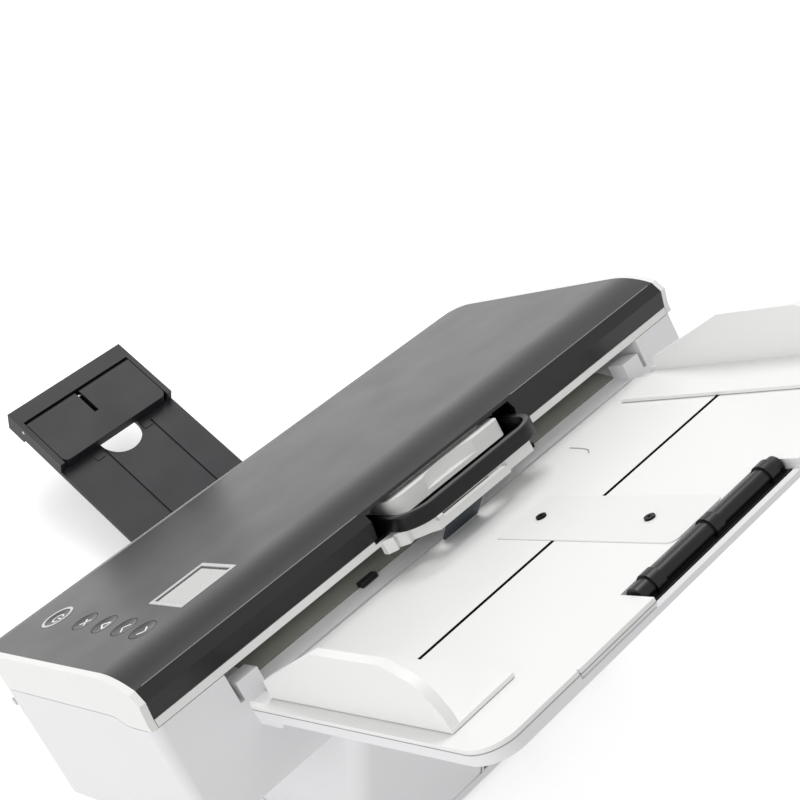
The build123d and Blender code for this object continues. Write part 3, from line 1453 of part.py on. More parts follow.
def rack_points(side):
    """Gives the outline of one rack, from its inner end to its foot."""
    back = pitch_radius + rack_back
    root = pitch_radius + tooth_root
    tip = pitch_radius - tooth_tip
    tip_half = half_tooth - tooth_tip * tooth_tan
    root_half = half_tooth + tooth_root * tooth_tan
    points = [(neck_outer, back), (rack_inner_end - 1, back), (rack_inner_end - 1, root)]
    for number in range(-2, 26):
        middle = number * pitch
        points += [(middle - root_half, root), (middle - tip_half, tip)]
        points += [(middle + tip_half, tip), (middle + root_half, root)]
    points.append((neck_outer, root))
    return [(feed_x + side * x, slot_u + side * d) for x, d in points]


def make_guide(side):
    """Gives a side guide with its foot and rack."""
    face = feed_x + side * guide_offset
    wall_x = sorted((face, face - side * guide_wall))
    flange_x = sorted((face, face - side * guide_flange))
    neck_x = sorted((feed_x + side * neck_inner, feed_x + side * neck_outer))
    foot_u = sorted((slot_u - side * neck_thickness / 2, slot_u + side * (pitch_radius + rack_back)))
    slide_n = tray_top_n + guide_lift
    profile = (
        (guide_start, slide_n),
        (16, -9.0),
        (63, 7.4),
        (104, 7.0),
        (117.6, 1.5),
        (122.8, -4.3),
        (125.8, -10.7),
        (guide_end, slide_n),
    )
    with BuildPart() as guide:
        deck_prism(wall_x, profile)
        deck_box(flange_x, (guide_start, guide_end), (slide_n, slide_n + guide_flange_thickness))
        neck_u = (slot_u - neck_thickness / 2, slot_u + neck_thickness / 2)
        deck_box(neck_x, neck_u, (-rack_bottom, slide_n + 1))
        deck_box(neck_x, foot_u, (-rack_bottom, -rack_top))
        with BuildSketch(deck(-rack_bottom)) as rack_plan:
            with BuildLine():
                Polyline(*rack_points(side), close=True)
            make_face()
        extrude(rack_plan.sketch, amount=rack_bottom - rack_top)
    return guide


save(make_guide(1), "guide_right")
save(make_guide(-1), "guide_left")


def out_box(x, d, h, mode=Mode.ADD):
    """Adds a box on the output tray, from its low and high x, distance outwards and height."""
    with BuildSketch(out_plane(h[0])) as plan:
        with Locations(((x[0] + x[1]) / 2, -(d[0] + d[1]) / 2)):
            Rectangle(x[1] - x[0], d[1] - d[0])
    extrude(plan.sketch, amount=h[1] - h[0], mode=mode)


def out_rod(x, d, h, radius, mode=Mode.ADD):
    """Adds a round rod across the output tray, from its low to its high x."""
    with BuildSketch(out_across(x[1])) as side:
        with Locations((d, h)):
            Circle(radius)
    extrude(side.sketch, amount=x[1] - x[0], mode=mode)


# Output tray with its stop flap
out_x = (-out_half, out_half)
rim_in = out_half - out_rim
strip_in = out_length - out_end
stop_low = out_top + stop_lift
stop_top = stop_low + stop_thickness
stop_outer = strip_in - stop_side_gap
stop_d = stop_outer - stop_thickness / 2
stop_h = (stop_low + stop_top) / 2
stop_inner = stop_outer - stop_depth
with BuildPart() as output_tray:
    out_box(out_x, (0, out_length), (-out_under, out_top))
    out_rod(out_x, 0, 0, out_knuckle)
    out_box(out_x, (strip_in, out_length), (-out_under, stop_top))
    out_box(out_x, (out_length - end_step, out_length), (-out_under - end_step_depth, 0))
    for low in (-out_half, rim_in):
        out_box((low, low + out_rim), (stop_inner, out_length), (-out_under, stop_top))
    for place in groove_places:
        groove = (place - groove_width / 2, place + groove_width / 2)
        groove_d = (groove_start, stop_inner - groove_stop)
        out_box(groove, groove_d, (out_top - groove_depth, out_top + 1), Mode.SUBTRACT)
    for place in pad_places:
        pad_x = (place - pad_size / 2, place + pad_size / 2)
        pad_end = stop_inner - pad_gap
        out_box(pad_x, (pad_end - pad_size, pad_end), (out_top, out_top + pad_height))
    with BuildSketch(out_plane(-out_under - 1)) as hole_plan:
        with Locations((finger_x, -stop_inner)):
            Circle(finger_radius)
    extrude(hole_plan.sketch, amount=out_under + out_top + 2, mode=Mode.SUBTRACT)
    out_rod((-out_half - 1, out_half + 1), stop_d, stop_h, stop_pin, Mode.SUBTRACT)
    for side in (-1, 1):
        bore_x = sorted((side * (out_pin_x[0] - 0.3), side * (out_half + 1)))
        out_rod(bore_x, 0, 0, pin_radius + shaft_gap, Mode.SUBTRACT)
save(output_tray, "output_tray")

with BuildPart() as stop_flap:
    stop_x = (-rim_in + stop_side_gap, rim_in - stop_side_gap)
    with BuildSketch(out_plane(stop_low)) as stop_plan:
        with Locations((0, -(stop_inner + stop_d) / 2)):
            Rectangle(2 * stop_x[1], stop_d - stop_inner)
        fillet(stop_plan.vertices().sort_by(Axis.Y)[-2:], stop_corner)
    extrude(amount=stop_thickness)
    out_rod(stop_x, stop_d, stop_h, stop_thickness / 2)
    slit = (slit_x - slit_width / 2, slit_x + slit_width / 2)
    out_box(slit, (stop_outer - slit_length, stop_outer + 1), (stop_low - 1, stop_top + 1), Mode.SUBTRACT)
    out_rod(stop_x, stop_d, stop_h, stop_pin + shaft_gap, Mode.SUBTRACT)
save(stop_flap, "stop_flap")

with BuildPart() as stop_flap_pin:
    out_rod((-out_half, out_half), stop_d, stop_h, stop_pin)
save(stop_flap_pin, "stop_flap_pin")
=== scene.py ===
"""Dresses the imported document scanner: softened edges, symbols, finishes, light and camera."""

import json
import logging
from abc import ABC, abstractmethod
from dataclasses import dataclass, field
from enum import Enum
from math import cos, pi, radians, sin

import bmesh
import bpy
from mathutils import Matrix, Vector

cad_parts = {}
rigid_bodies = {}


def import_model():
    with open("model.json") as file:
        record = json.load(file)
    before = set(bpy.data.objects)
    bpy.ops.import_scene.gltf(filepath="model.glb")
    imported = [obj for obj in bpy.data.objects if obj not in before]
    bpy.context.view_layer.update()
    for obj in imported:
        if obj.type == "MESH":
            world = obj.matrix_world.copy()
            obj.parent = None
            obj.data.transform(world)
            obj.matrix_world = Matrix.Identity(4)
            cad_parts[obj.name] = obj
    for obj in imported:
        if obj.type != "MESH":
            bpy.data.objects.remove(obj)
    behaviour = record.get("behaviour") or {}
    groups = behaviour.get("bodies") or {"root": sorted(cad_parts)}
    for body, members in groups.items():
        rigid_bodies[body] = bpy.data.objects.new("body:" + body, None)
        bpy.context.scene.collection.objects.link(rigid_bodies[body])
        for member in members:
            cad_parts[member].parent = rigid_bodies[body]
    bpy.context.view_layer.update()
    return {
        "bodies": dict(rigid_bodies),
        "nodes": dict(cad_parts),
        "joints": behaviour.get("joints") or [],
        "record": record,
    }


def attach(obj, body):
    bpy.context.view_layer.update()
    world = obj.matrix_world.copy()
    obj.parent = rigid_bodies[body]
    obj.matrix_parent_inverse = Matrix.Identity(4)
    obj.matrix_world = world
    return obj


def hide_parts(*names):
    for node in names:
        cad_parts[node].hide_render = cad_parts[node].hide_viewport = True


log = logging.getLogger("scanner")

MM = 0.001

Pair = tuple[float, float]
Triple = tuple[float, float, float]


class Symbol(Enum):
    """The plain symbols on the buttons."""

    POWER = "power"
    CROSS = "cross"
    TRIANGLE = "triangle"
    LEFT = "left"
    RIGHT = "right"


# The straight lines of each symbol, in millimetres round the middle of its button.
STROKES: dict[Symbol, list[tuple[Pair, Pair]]] = {
    Symbol.POWER: [((0, 0.4), (0, 3.0))],
    Symbol.CROSS: [((-2, -2), (2, 2)), ((-2, 2), (2, -2))],
    Symbol.TRIANGLE: [
        ((-2.2, 1.6), (2.2, 1.6)),
        ((2.2, 1.6), (0, -2.2)),
        ((0, -2.2), (-2.2, 1.6)),
    ],
    Symbol.LEFT: [((2.4, -1.2), (0, 1.4)), ((0, 1.4), (-2.4, -1.2))],
    Symbol.RIGHT: [((2.4, 1.2), (0, -1.4)), ((0, -1.4), (-2.4, 1.2))],
}


def linear(code: str) -> tuple[float, float, float, float]:
    """Turns an sRGB hex colour into the linear colour that a shader takes.

    Args:
        code: The colour as six hex digits.

    Returns:
        Red, green, blue and an alpha of 1.
    """
    # The numbers are those of the sRGB curve itself.
    parts = [int(code[i : i + 2], 16) / 255 for i in (0, 2, 4)]
    red, green, blue = (p / 12.92 if p <= 0.04045 else ((p + 0.055) / 1.055) ** 2.4 for p in parts)
    return (red, green, blue, 1.0)


def add_node(
    tree: bpy.types.NodeTree,
    kind: str,
    settings: dict[str, object] | None = None,
    **links: object,
) -> bpy.types.Node:
    """Adds one shader node with its settings, values and links.

    Args:
        tree: The node tree that takes the node.
        kind: The node's type name.
        settings: The node's own properties.
        links: The value or output socket for each input, by its name with spaces as
            underscores, or as in0, in1 and so on by its place.

    Returns:
        The new node.
    """
    node = tree.nodes.new(kind)
    for name, value in (settings or {}).items():
        setattr(node, name, value)
    for name, value in links.items():
        key = name.replace("_", " ")
        by_place = key.startswith("in") and key[2:].isdigit()
        socket = node.inputs[int(key[2:]) if by_place else key]
        if isinstance(value, bpy.types.NodeSocket):
            tree.links.new(value, socket)
        else:
            socket.default_value = value
    return node


def add_shown(tree: bpy.types.NodeTree) -> bpy.types.NodeSocket:
    """Adds what is 1 where the camera, a reflection or a window shows the background.

    Args:
        tree: The node tree that takes the nodes.

    Returns:
        The socket that gives 1 or 0.
    """
    path = add_node(tree, "ShaderNodeLightPath").outputs
    larger = {"operation": "MAXIMUM"}
    camera, glossy = path["Is Camera Ray"], path["Is Glossy Ray"]
    seen = add_node(tree, "ShaderNodeMath", larger, in0=camera, in1=glossy).outputs[0]
    window = path["Is Transmission Ray"]
    return add_node(tree, "ShaderNodeMath", larger, in0=seen, in1=window).outputs[0]


@dataclass(frozen=True)
class Finish(ABC):
    """What every finish shares: its name and how its material begins."""

    name: str

    def start(self) -> bpy.types.Material:
        """Makes the material without any nodes yet.

        Returns:
            The empty material.
        """
        made = bpy.data.materials.new(self.name)
        made.use_nodes = True
        made.node_tree.nodes.clear()
        return made

    @abstractmethod
    def build(self) -> bpy.types.Material:
        """Makes the material, in each kind of finish in its own way."""


@dataclass(frozen=True)
class Moulded(Finish):
    """A moulded plastic or rubber: slight colour drift, fine eroded grain and a soft gloss."""

    colour: str
    drift: str
    roughness: float = 0.5
    grain_mm: float = 1.1
    grain_depth: float = 0.02
    ior: float = 1.5
    flow_mm: float = 60.0
    wear_mm: float = 25.0
    wear_window: Pair = (0.3, 0.7)
    polished: float = 0.02
    dulled: float = 0.03
    relief_mm: float = 0.2

    def build(self) -> bpy.types.Material:
        """Makes the material.

        Returns:
            The finished material.
        """
        made = self.start()
        tree = made.node_tree
        place = add_node(tree, "ShaderNodeTexCoord").outputs["Object"]
        # Slow drift of the colour over about 60 mm, as a moulding's flow leaves it.
        flow = add_node(
            tree,
            "ShaderNodeTexNoise",
            Vector=place,
            Scale=1 / (self.flow_mm * MM),
            Detail=3.0,
        )
        colour = add_node(
            tree,
            "ShaderNodeMix",
            {"data_type": "RGBA"},
            in0=flow.outputs["Fac"],
            in6=linear(self.colour),
            in7=linear(self.drift),
        )
        # The real grain is about 0.1 mm, too fine for the picture, so it is drawn coarser.
        grain = add_node(
            tree,
            "ShaderNodeTexNoise",
            Vector=place,
            Scale=1 / (self.grain_mm * MM),
            Detail=2.0,
            Roughness=0.6,
        )
        # Handling polishes a moulding in patches a few centimetres wide.
        wear = add_node(
            tree,
            "ShaderNodeTexNoise",
            Vector=place,
            Scale=1 / (self.wear_mm * MM),
            Detail=2.0,
        )
        gloss = add_node(
            tree,
            "ShaderNodeMapRange",
            Value=wear.outputs["Fac"],
            From_Min=self.wear_window[0],
            From_Max=self.wear_window[1],
            To_Min=self.roughness - self.polished,
            To_Max=self.roughness + self.dulled,
        )
        bump = add_node(
            tree,
            "ShaderNodeBump",
            Strength=self.grain_depth,
            Distance=self.relief_mm * MM,
            Height=grain.outputs["Fac"],
        )
        shader = add_node(
            tree,
            "ShaderNodeBsdfPrincipled",
            Base_Color=colour.outputs[2],
            Roughness=gloss.outputs["Result"],
            IOR=self.ior,
            Normal=bump.outputs["Normal"],
        )
        add_node(tree, "ShaderNodeOutputMaterial", Surface=shader.outputs["BSDF"])
        return made


@dataclass(frozen=True)
class Steel(Finish):
    """Turned, drawn or plated steel: a metal with fine rings round the shaft."""

    colour: str
    roughness: float = 0.32
    streak_mm: float = 0.9
    spread_mm: float = 25.0
    bright: float = 0.1
    dull: float = 0.12
    streak_depth: float = 0.05
    relief_mm: float = 0.1

    def build(self) -> bpy.types.Material:
        """Makes the material.

        Returns:
            The finished material.
        """
        made = self.start()
        tree = made.node_tree
        place = add_node(tree, "ShaderNodeTexCoord").outputs["Object"]
        # Turning leaves rings across X, drawn at 0.9 mm so that they show.
        along, round_shaft = 1 / (self.streak_mm * MM), 1 / (self.spread_mm * MM)
        stretched = add_node(
            tree, "ShaderNodeMapping", Vector=place, Scale=(along, round_shaft, round_shaft)
        )
        streak = add_node(
            tree,
            "ShaderNodeTexNoise",
            Vector=stretched.outputs["Vector"],
            Scale=1.0,
            Detail=2.0,
        )
        gloss = add_node(
            tree,
            "ShaderNodeMapRange",
            Value=streak.outputs["Fac"],
            To_Min=self.roughness - self.bright,
            To_Max=self.roughness + self.dull,
        )
        bump = add_node(
            tree,
            "ShaderNodeBump",
            Strength=self.streak_depth,
            Distance=self.relief_mm * MM,
            Height=streak.outputs["Fac"],
        )
        shader = add_node(
            tree,
            "ShaderNodeBsdfPrincipled",
            Base_Color=linear(self.colour),
            Metallic=1.0,
            Roughness=gloss.outputs["Result"],
            Normal=bump.outputs["Normal"],
        )
        add_node(tree, "ShaderNodeOutputMaterial", Surface=shader.outputs["BSDF"])
        return made


@dataclass(frozen=True)
class Pane(Finish):
    """A flat window: clear glass over what lies behind it, or a grey display lens."""

    colour: str
    transmission: float = 0.9
    roughness: float = 0.06
    ior: float = 1.5
    smear_mm: float = 14.0
    smeared: float = 0.1

    def build(self) -> bpy.types.Material:
        """Makes the material.

        Returns:
            The finished material.
        """
        made = self.start()
        tree = made.node_tree
        place = add_node(tree, "ShaderNodeTexCoord").outputs["Object"]
        # Faint smears a centimetre or two long, which only the gloss shows.
        smear = add_node(
            tree,
            "ShaderNodeTexNoise",
            Vector=place,
            Scale=1 / (self.smear_mm * MM),
            Detail=3.0,
        )
        gloss = add_node(
            tree,
            "ShaderNodeMapRange",
            Value=smear.outputs["Fac"],
            To_Min=self.roughness,
            To_Max=self.roughness + self.smeared,
        )
        shader = add_node(
            tree,
            "ShaderNodeBsdfPrincipled",
            Base_Color=linear(self.colour),
            Roughness=gloss.outputs["Result"],
            Transmission_Weight=self.transmission,
            IOR=self.ior,
        )
        add_node(tree, "ShaderNodeOutputMaterial", Surface=shader.outputs["BSDF"])
        return made


@dataclass(frozen=True)
class Board(Finish):
    """A glass-fibre circuit board under green solder mask, with paler copper areas."""

    name: str = "FR4 board with green mask"
    mask: str = "0d4a2a"
    copper: str = "1c6b3c"
    block_mm: float = 4.0
    roughness: float = 0.35
    ior: float = 1.5

    def build(self) -> bpy.types.Material:
        """Makes the material.

        Returns:
            The finished material.
        """
        made = self.start()
        tree = made.node_tree
        place = add_node(tree, "ShaderNodeTexCoord").outputs["Object"]
        # Copper areas show through the mask in blocks of about 4 mm.
        cells = add_node(
            tree,
            "ShaderNodeTexVoronoi",
            {"distance": "MANHATTAN"},
            Vector=place,
            Scale=1 / (self.block_mm * MM),
        )
        colour = add_node(
            tree,
            "ShaderNodeMix",
            {"data_type": "RGBA"},
            in0=cells.outputs["Distance"],
            in6=linear(self.mask),
            in7=linear(self.copper),
        )
        shader = add_node(
            tree,
            "ShaderNodeBsdfPrincipled",
            Base_Color=colour.outputs[2],
            Roughness=self.roughness,
            IOR=self.ior,
        )
        add_node(tree, "ShaderNodeOutputMaterial", Surface=shader.outputs["BSDF"])
        return made


@dataclass(frozen=True)
class StudioPaper(Finish):
    """Matt white paper, which shows white and still takes the object's shadow."""

    name: str = "white studio paper"
    colour: str = "f2f2f2"
    glow_colour: str = "ffffff"
    glow: float = 0.42

    def build(self) -> bpy.types.Material:
        """Makes the material.

        Returns:
            The finished material.
        """
        made = self.start()
        tree = made.node_tree
        matt = add_node(tree, "ShaderNodeBsdfDiffuse", Color=linear(self.colour)).outputs[0]
        # The glow is for the background alone and puts no light on the object.
        glow = add_node(
            tree, "ShaderNodeEmission", Color=linear(self.glow_colour), Strength=self.glow
        ).outputs[0]
        both = add_node(tree, "ShaderNodeAddShader", in0=matt, in1=glow).outputs[0]
        mixed = add_node(tree, "ShaderNodeMixShader", in0=add_shown(tree), in1=matt, in2=both)
        add_node(tree, "ShaderNodeOutputMaterial", Surface=mixed.outputs[0])
        return made


@dataclass(frozen=True)
class Deck:
    """The sloping deck's axes, and the place of its measures in the frame."""

    tilt: float = radians(38.5)
    rear_y_mm: float = 73.917
    height_mm: float = 170.0

    def matrix(self) -> Matrix:
        """Gives the matrix that takes deck millimetres to metres in the frame.

        Returns:
            The 4 by 4 matrix.
        """
        turn = Matrix.Rotation(self.tilt, 4, "X")
        move = Matrix.Translation(Vector((0, self.rear_y_mm, self.height_mm)) * MM)
        return move @ turn @ Matrix.Scale(MM, 4)


def finished_piece(
    name: str, shape: bmesh.types.BMesh, place: Matrix, finish: bpy.types.Material
) -> bpy.types.Object:
    """Turns a shape into an object at the origin, with its place in its mesh.

    Args:
        name: The piece's name.
        shape: The shape, which is freed.
        place: The matrix that takes the shape to the frame.
        finish: The piece's material.

    Returns:
        The new object.
    """
    shape.transform(place)
    bmesh.ops.recalc_face_normals(shape, faces=shape.faces)
    mesh = bpy.data.meshes.new(name)
    shape.to_mesh(mesh)
    shape.free()
    mesh.materials.append(finish)
    piece = bpy.data.objects.new(name, mesh)
    bpy.context.scene.collection.objects.link(piece)
    return piece


def add_stroke(
    shape: bmesh.types.BMesh,
    start: Vector,
    end: Vector,
    width: float,
    height: float,
    overlap: float = 0.0,
) -> None:
    """Adds one straight line of print or of raised moulding.

    Args:
        shape: The shape so far.
        start: The line's first end.
        end: The line's other end.
        width: The line's width.
        height: How high the line stands.
        overlap: How much longer the line is than the way between its ends.
    """
    run = end - start
    turn = Matrix.Rotation(-Vector((1, 0)).angle_signed(run.xy), 4, "Z")
    size = Matrix.Diagonal((run.length + overlap, width, height, 1))
    middle = Matrix.Translation((start + end) / 2)
    bmesh.ops.create_cube(shape, size=1, matrix=middle @ turn @ size)


@dataclass
class SoftenedNode:
    """A copy of a CAD node whose sharp edges get the small round that a mould gives them."""

    node: str
    body: str
    slot: str
    finish: bpy.types.Material
    radius_mm: float = 0.5
    segments: int = 2
    weld_mm: float = 0.002
    flat_angle: float = radians(0.6)
    sharp_angle: float = radians(32)
    face_weight: int = 100

    def build(self, frame: dict) -> bpy.types.Object:
        """Makes the softened copy, which stands for its node.

        Args:
            frame: The loaded frame.

        Returns:
            The new object.
        """
        shape = bmesh.new()
        shape.from_mesh(frame["nodes"][self.node].data)
        bmesh.ops.remove_doubles(shape, verts=shape.verts, dist=self.weld_mm * MM)
        bmesh.ops.dissolve_limit(
            shape,
            angle_limit=self.flat_angle,
            verts=shape.verts,
            edges=shape.edges,
            delimit=set(),
        )
        mesh = bpy.data.meshes.new(self.node + "_soft")
        shape.to_mesh(mesh)
        shape.free()
        mesh.materials.append(self.finish)
        mesh.shade_smooth()
        piece = bpy.data.objects.new(self.node + "_soft", mesh)
        bpy.context.scene.collection.objects.link(piece)
        soften = piece.modifiers.new("mould_round", "BEVEL")
        soften.limit_method = "ANGLE"
        soften.angle_limit = self.sharp_angle
        soften.width = self.radius_mm * MM
        soften.segments = self.segments
        soften.use_clamp_overlap = True
        soften.harden_normals = True
        flatten = piece.modifiers.new("flat_faces", "WEIGHTED_NORMAL")
        flatten.weight = self.face_weight
        flatten.keep_sharp = True
        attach(piece, self.body)
        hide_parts(self.node)
        return piece


@dataclass(kw_only=True)
class DeckPiece(ABC):
    """A detail of the scene alone, which is drawn in deck millimetres and has one finish."""

    finish: bpy.types.Material
    deck: Deck = field(default_factory=Deck)

    @abstractmethod
    def build(self) -> list[bpy.types.Object]:
        """Makes the detail's pieces, in each kind of detail in its own way."""


@dataclass
class ButtonSymbols(DeckPiece):
    """The plain symbols that lie in the dish of each button."""

    across_mm: float = 127.0
    top_mm: float = 17.5
    line_mm: float = 0.8
    lift_mm: float = 0.12
    scale: float = 1.2
    ring_radius_mm: float = 2.6
    ring_gap: float = radians(70)
    ring_count: int = 20
    ring_overlap_mm: float = 0.08
    places: dict[str, tuple[float, Symbol]] = field(
        default_factory=lambda: {
            "power_key": (-118.5, Symbol.POWER),
            "stop_key": (-89.6, Symbol.CROSS),
            "start_key": (-70.4, Symbol.TRIANGLE),
            "down_key": (-51.7, Symbol.RIGHT),
            "up_key": (-34.9, Symbol.LEFT),
        }
    )

    def add_ring(self, shape: bmesh.types.BMesh) -> None:
        """Adds an open ring of printed line, with its gap towards the tray.

        Args:
            shape: The symbol so far.
        """
        first, reach = pi / 2 + self.ring_gap / 2, 2 * pi - self.ring_gap
        angles = [first + reach * i / self.ring_count for i in range(self.ring_count + 1)]
        radius = self.ring_radius_mm
        ends = [Vector((radius * cos(angle), radius * sin(angle), 0)) for angle in angles]
        for start, end in zip(ends, ends[1:]):
            add_stroke(shape, start, end, self.line_mm, self.lift_mm, self.ring_overlap_mm)

    def draw(self, symbol: Symbol) -> bmesh.types.BMesh:
        """Draws a symbol round the origin, in millimetres.

        Args:
            symbol: Which symbol.

        Returns:
            The symbol's shape.
        """
        shape = bmesh.new()
        for start, end in STROKES[symbol]:
            ends = Vector((*start, 0)) * self.scale, Vector((*end, 0)) * self.scale
            add_stroke(shape, *ends, self.line_mm, self.lift_mm, self.line_mm)
        if symbol is Symbol.POWER:
            self.add_ring(shape)
        return shape

    def build(self) -> list[bpy.types.Object]:
        """Makes every symbol.

        Returns:
            The new objects.
        """
        made = []
        for body, (up_slope, symbol) in self.places.items():
            middle = Matrix.Translation((self.across_mm, up_slope, self.top_mm))
            place = self.deck.matrix() @ middle
            piece = finished_piece(body + "_symbol", self.draw(symbol), place, self.finish)
            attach(piece, body)
            made.append(piece)
        return made


@dataclass
class DisplayRecessShade(DeckPiece):
    """A black line along three sides of the lens, wide on two and narrow on the third: painted
    shade where the walls of its recess lie in shade.
    """

    middle: Pair = (97.5, -41.6)
    half_mm: float = 12.4
    lens_mm: float = 17.6
    wide_mm: float = 1.0
    narrow_mm: float = 0.4
    height_mm: float = 0.08

    def build(self) -> list[bpy.types.Object]:
        """Makes the line along three sides of the lens.

        Returns:
            The new object, in a list.
        """
        shape = bmesh.new()
        across, up_slope = self.middle
        level = self.lens_mm + self.height_mm / 2
        left, right = across - self.half_mm, across + self.half_mm
        for side, width in ((-1, self.wide_mm), (1, self.narrow_mm)):
            edge = up_slope + side * (self.half_mm - width / 2)
            ends = Vector((left, edge, level)), Vector((right, edge, level))
            add_stroke(shape, *ends, width, self.height_mm)
        edge = left + self.wide_mm / 2
        reach = self.half_mm - self.wide_mm
        ends = (Vector((edge, up_slope + side * reach, level)) for side in (-1, 1))
        add_stroke(shape, *ends, self.wide_mm, self.height_mm)
        piece = finished_piece("display_recess_painted_shade", shape, self.deck.matrix(), self.finish)
        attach(piece, "cover")
        return [piece]


@dataclass
class SlotShade(DeckPiece):
    """Black strips on the front walls of the two slots that the side guides slide in: painted
    shade that makes each slot read dark.
    """

    middle_mm: float = -3.5
    inner_mm: float = 13.2
    outer_mm: float = 112.3
    wall_mm: float = 70.05
    top_mm: float = -17.02
    depth_mm: float = 1.9
    thickness_mm: float = 0.08

    def build(self) -> list[bpy.types.Object]:
        """Makes both walls.

        Returns:
            The new object, in a list.
        """
        shape = bmesh.new()
        level = self.top_mm - self.depth_mm / 2
        for side in (-1, 1):
            reaches = (self.inner_mm, self.outer_mm)
            ends = (Vector((self.middle_mm + side * r, self.wall_mm, level)) for r in reaches)
            add_stroke(shape, *ends, self.thickness_mm, self.depth_mm)
        piece = finished_piece("slot_walls", shape, self.deck.matrix(), self.finish)
        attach(piece, "input_tray")
        return [piece]


@dataclass
class ThroatHoleShade(DeckPiece):
    """Two black blocks low in the throat, one on each side of the feed module: painted shade where
    the holes there lie dark.
    """

    places: Pair = (45.5, -52.5)
    size_mm: Triple = (9.0, 4.0, 2.4)
    up_slope_mm: float = -8.5
    level_mm: float = -14.3
    round_mm: float = 0.5
    round_steps: int = 3

    def build(self) -> list[bpy.types.Object]:
        """Makes both stops.

        Returns:
            Makes both blocks.
        """
        shape = bmesh.new()
        size = Matrix.Diagonal((*self.size_mm, 1))
        for across in self.places:
            place = Matrix.Translation((across, self.up_slope_mm, self.level_mm))
            bmesh.ops.create_cube(shape, size=1, matrix=place @ size)
        bmesh.ops.bevel(
            shape,
            geom=shape.edges[:],
            offset=self.round_mm,
            affect="EDGES",
            segments=self.round_steps,
            profile=0.5,
            material=-1,
        )
        piece = finished_piece("feed_stops", shape, self.deck.matrix(), self.finish)
        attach(piece, "base_unit")
        return [piece]


@dataclass
class CrestEdge(DeckPiece):
    """The cover's rear edge as a paler line: a painted highlight where the crease catches the
    light, on both sides of the recess.
    """

    up_slope_mm: float = -1.0
    level_mm: float = 12.68
    width_mm: float = 0.5
    height_mm: float = 0.3
    runs: tuple[Pair, Pair] = ((-150.0, -53.0), (40.0, 150.0))

    def build(self) -> list[bpy.types.Object]:
        """Makes both lengths of the edge.

        Returns:
            The new object, in a list.
        """
        shape = bmesh.new()
        for run in self.runs:
            ends = (Vector((x, self.up_slope_mm, self.level_mm)) for x in run)
            add_stroke(shape, *ends, self.width_mm, self.height_mm)
        piece = finished_piece("crest_edge", shape, self.deck.matrix(), self.finish)
        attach(piece, "cover")
        return [piece]


@dataclass
class TraySeam(DeckPiece):
    """The joint between the input tray's top and its underside, as a fine grey line."""

    source: bpy.types.Object
    low_mm: float = -18.95
    high_mm: float = -18.6
    middle: Triple = (-3.5, 76.0, -18.8)
    proud: float = 1.0008
    weld_mm: float = 0.001
    skin_mm: float = 0.05

    def keep_outer_ring(self, shape: bmesh.types.BMesh) -> None:
        """Leaves out the belt's inner rings, which run round slots and holes.

        Args:
            shape: The belt.
        """
        outermost = max(shape.verts, key=lambda vert: vert.co.x)
        reached, waiting = {outermost}, [outermost]
        while waiting:
            vert = waiting.pop()
            fresh = {edge.other_vert(vert) for edge in vert.link_edges} - reached
            reached |= fresh
            waiting.extend(fresh)
        inner = [vert for vert in shape.verts if vert not in reached]
        bmesh.ops.delete(shape, geom=inner, context="VERTS")

    def put_in_order(self, shape: bmesh.types.BMesh) -> None:
        """Sorts the ring's parts by place, as the cut and the wall leave them in any order.

        Args:
            shape: The finished ring.
        """
        for index, vert in enumerate(sorted(shape.verts, key=lambda vert: tuple(vert.co))):
            vert.index = index
        shape.verts.sort()
        for parts in (shape.edges, shape.faces):
            by_verts = sorted(parts, key=lambda part: sorted(vert.index for vert in part.verts))
            for index, part in enumerate(by_verts):
                part.index = index
            parts.sort()

    def build(self) -> list[bpy.types.Object]:
        """Cuts a narrow belt out of a copy of the tray's top and lets it stand a little proud.

        Returns:
            The new object, in a list.
        """
        shape = bmesh.new()
        shape.from_mesh(self.source.data)
        shape.transform(self.deck.matrix().inverted())
        for level, side in ((self.low_mm, 1), (self.high_mm, -1)):
            bmesh.ops.bisect_plane(
                shape,
                geom=[*shape.verts, *shape.edges, *shape.faces],
                plane_co=(0, 0, level),
                plane_no=(0, 0, side),
                clear_inner=True,
            )
        middle = Matrix.Translation(Vector(self.middle))
        grow = Matrix.Diagonal((self.proud, self.proud, 1, 1))
        shape.transform(middle @ grow @ middle.inverted())
        bmesh.ops.remove_doubles(shape, verts=shape.verts, dist=self.weld_mm)
        self.keep_outer_ring(shape)
        bmesh.ops.solidify(shape, geom=shape.faces, thickness=self.skin_mm)
        self.put_in_order(shape)
        piece = finished_piece("tray_seam", shape, self.deck.matrix(), self.finish)
        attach(piece, "input_tray")
        return [piece]


@dataclass
class TrayMark(DeckPiece):
    """The short curved rib on the input tray, beside the middle, in grey as painted shade along a
    step's edge.
    """

    tray_mm: float = -17.0
    width_mm: float = 0.6
    height_mm: float = 0.3
    path: tuple[Pair, ...] = (
        (-56.7, 15.4),
        (-56.0, 22.0),
        (-55.3, 26.3),
        (-54.2, 29.4),
        (-51.8, 32.0),
    )

    def build(self) -> list[bpy.types.Object]:
        """Makes the rib.

        Returns:
            The new object, in a list.
        """
        shape = bmesh.new()
        ends = [Vector((*point, self.tray_mm)) for point in self.path]
        for start, end in zip(ends, ends[1:]):
            add_stroke(shape, start, end, self.width_mm, self.height_mm, self.width_mm / 2)
        piece = finished_piece("tray_rib", shape, self.deck.matrix(), self.finish)
        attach(piece, "input_tray")
        return [piece]


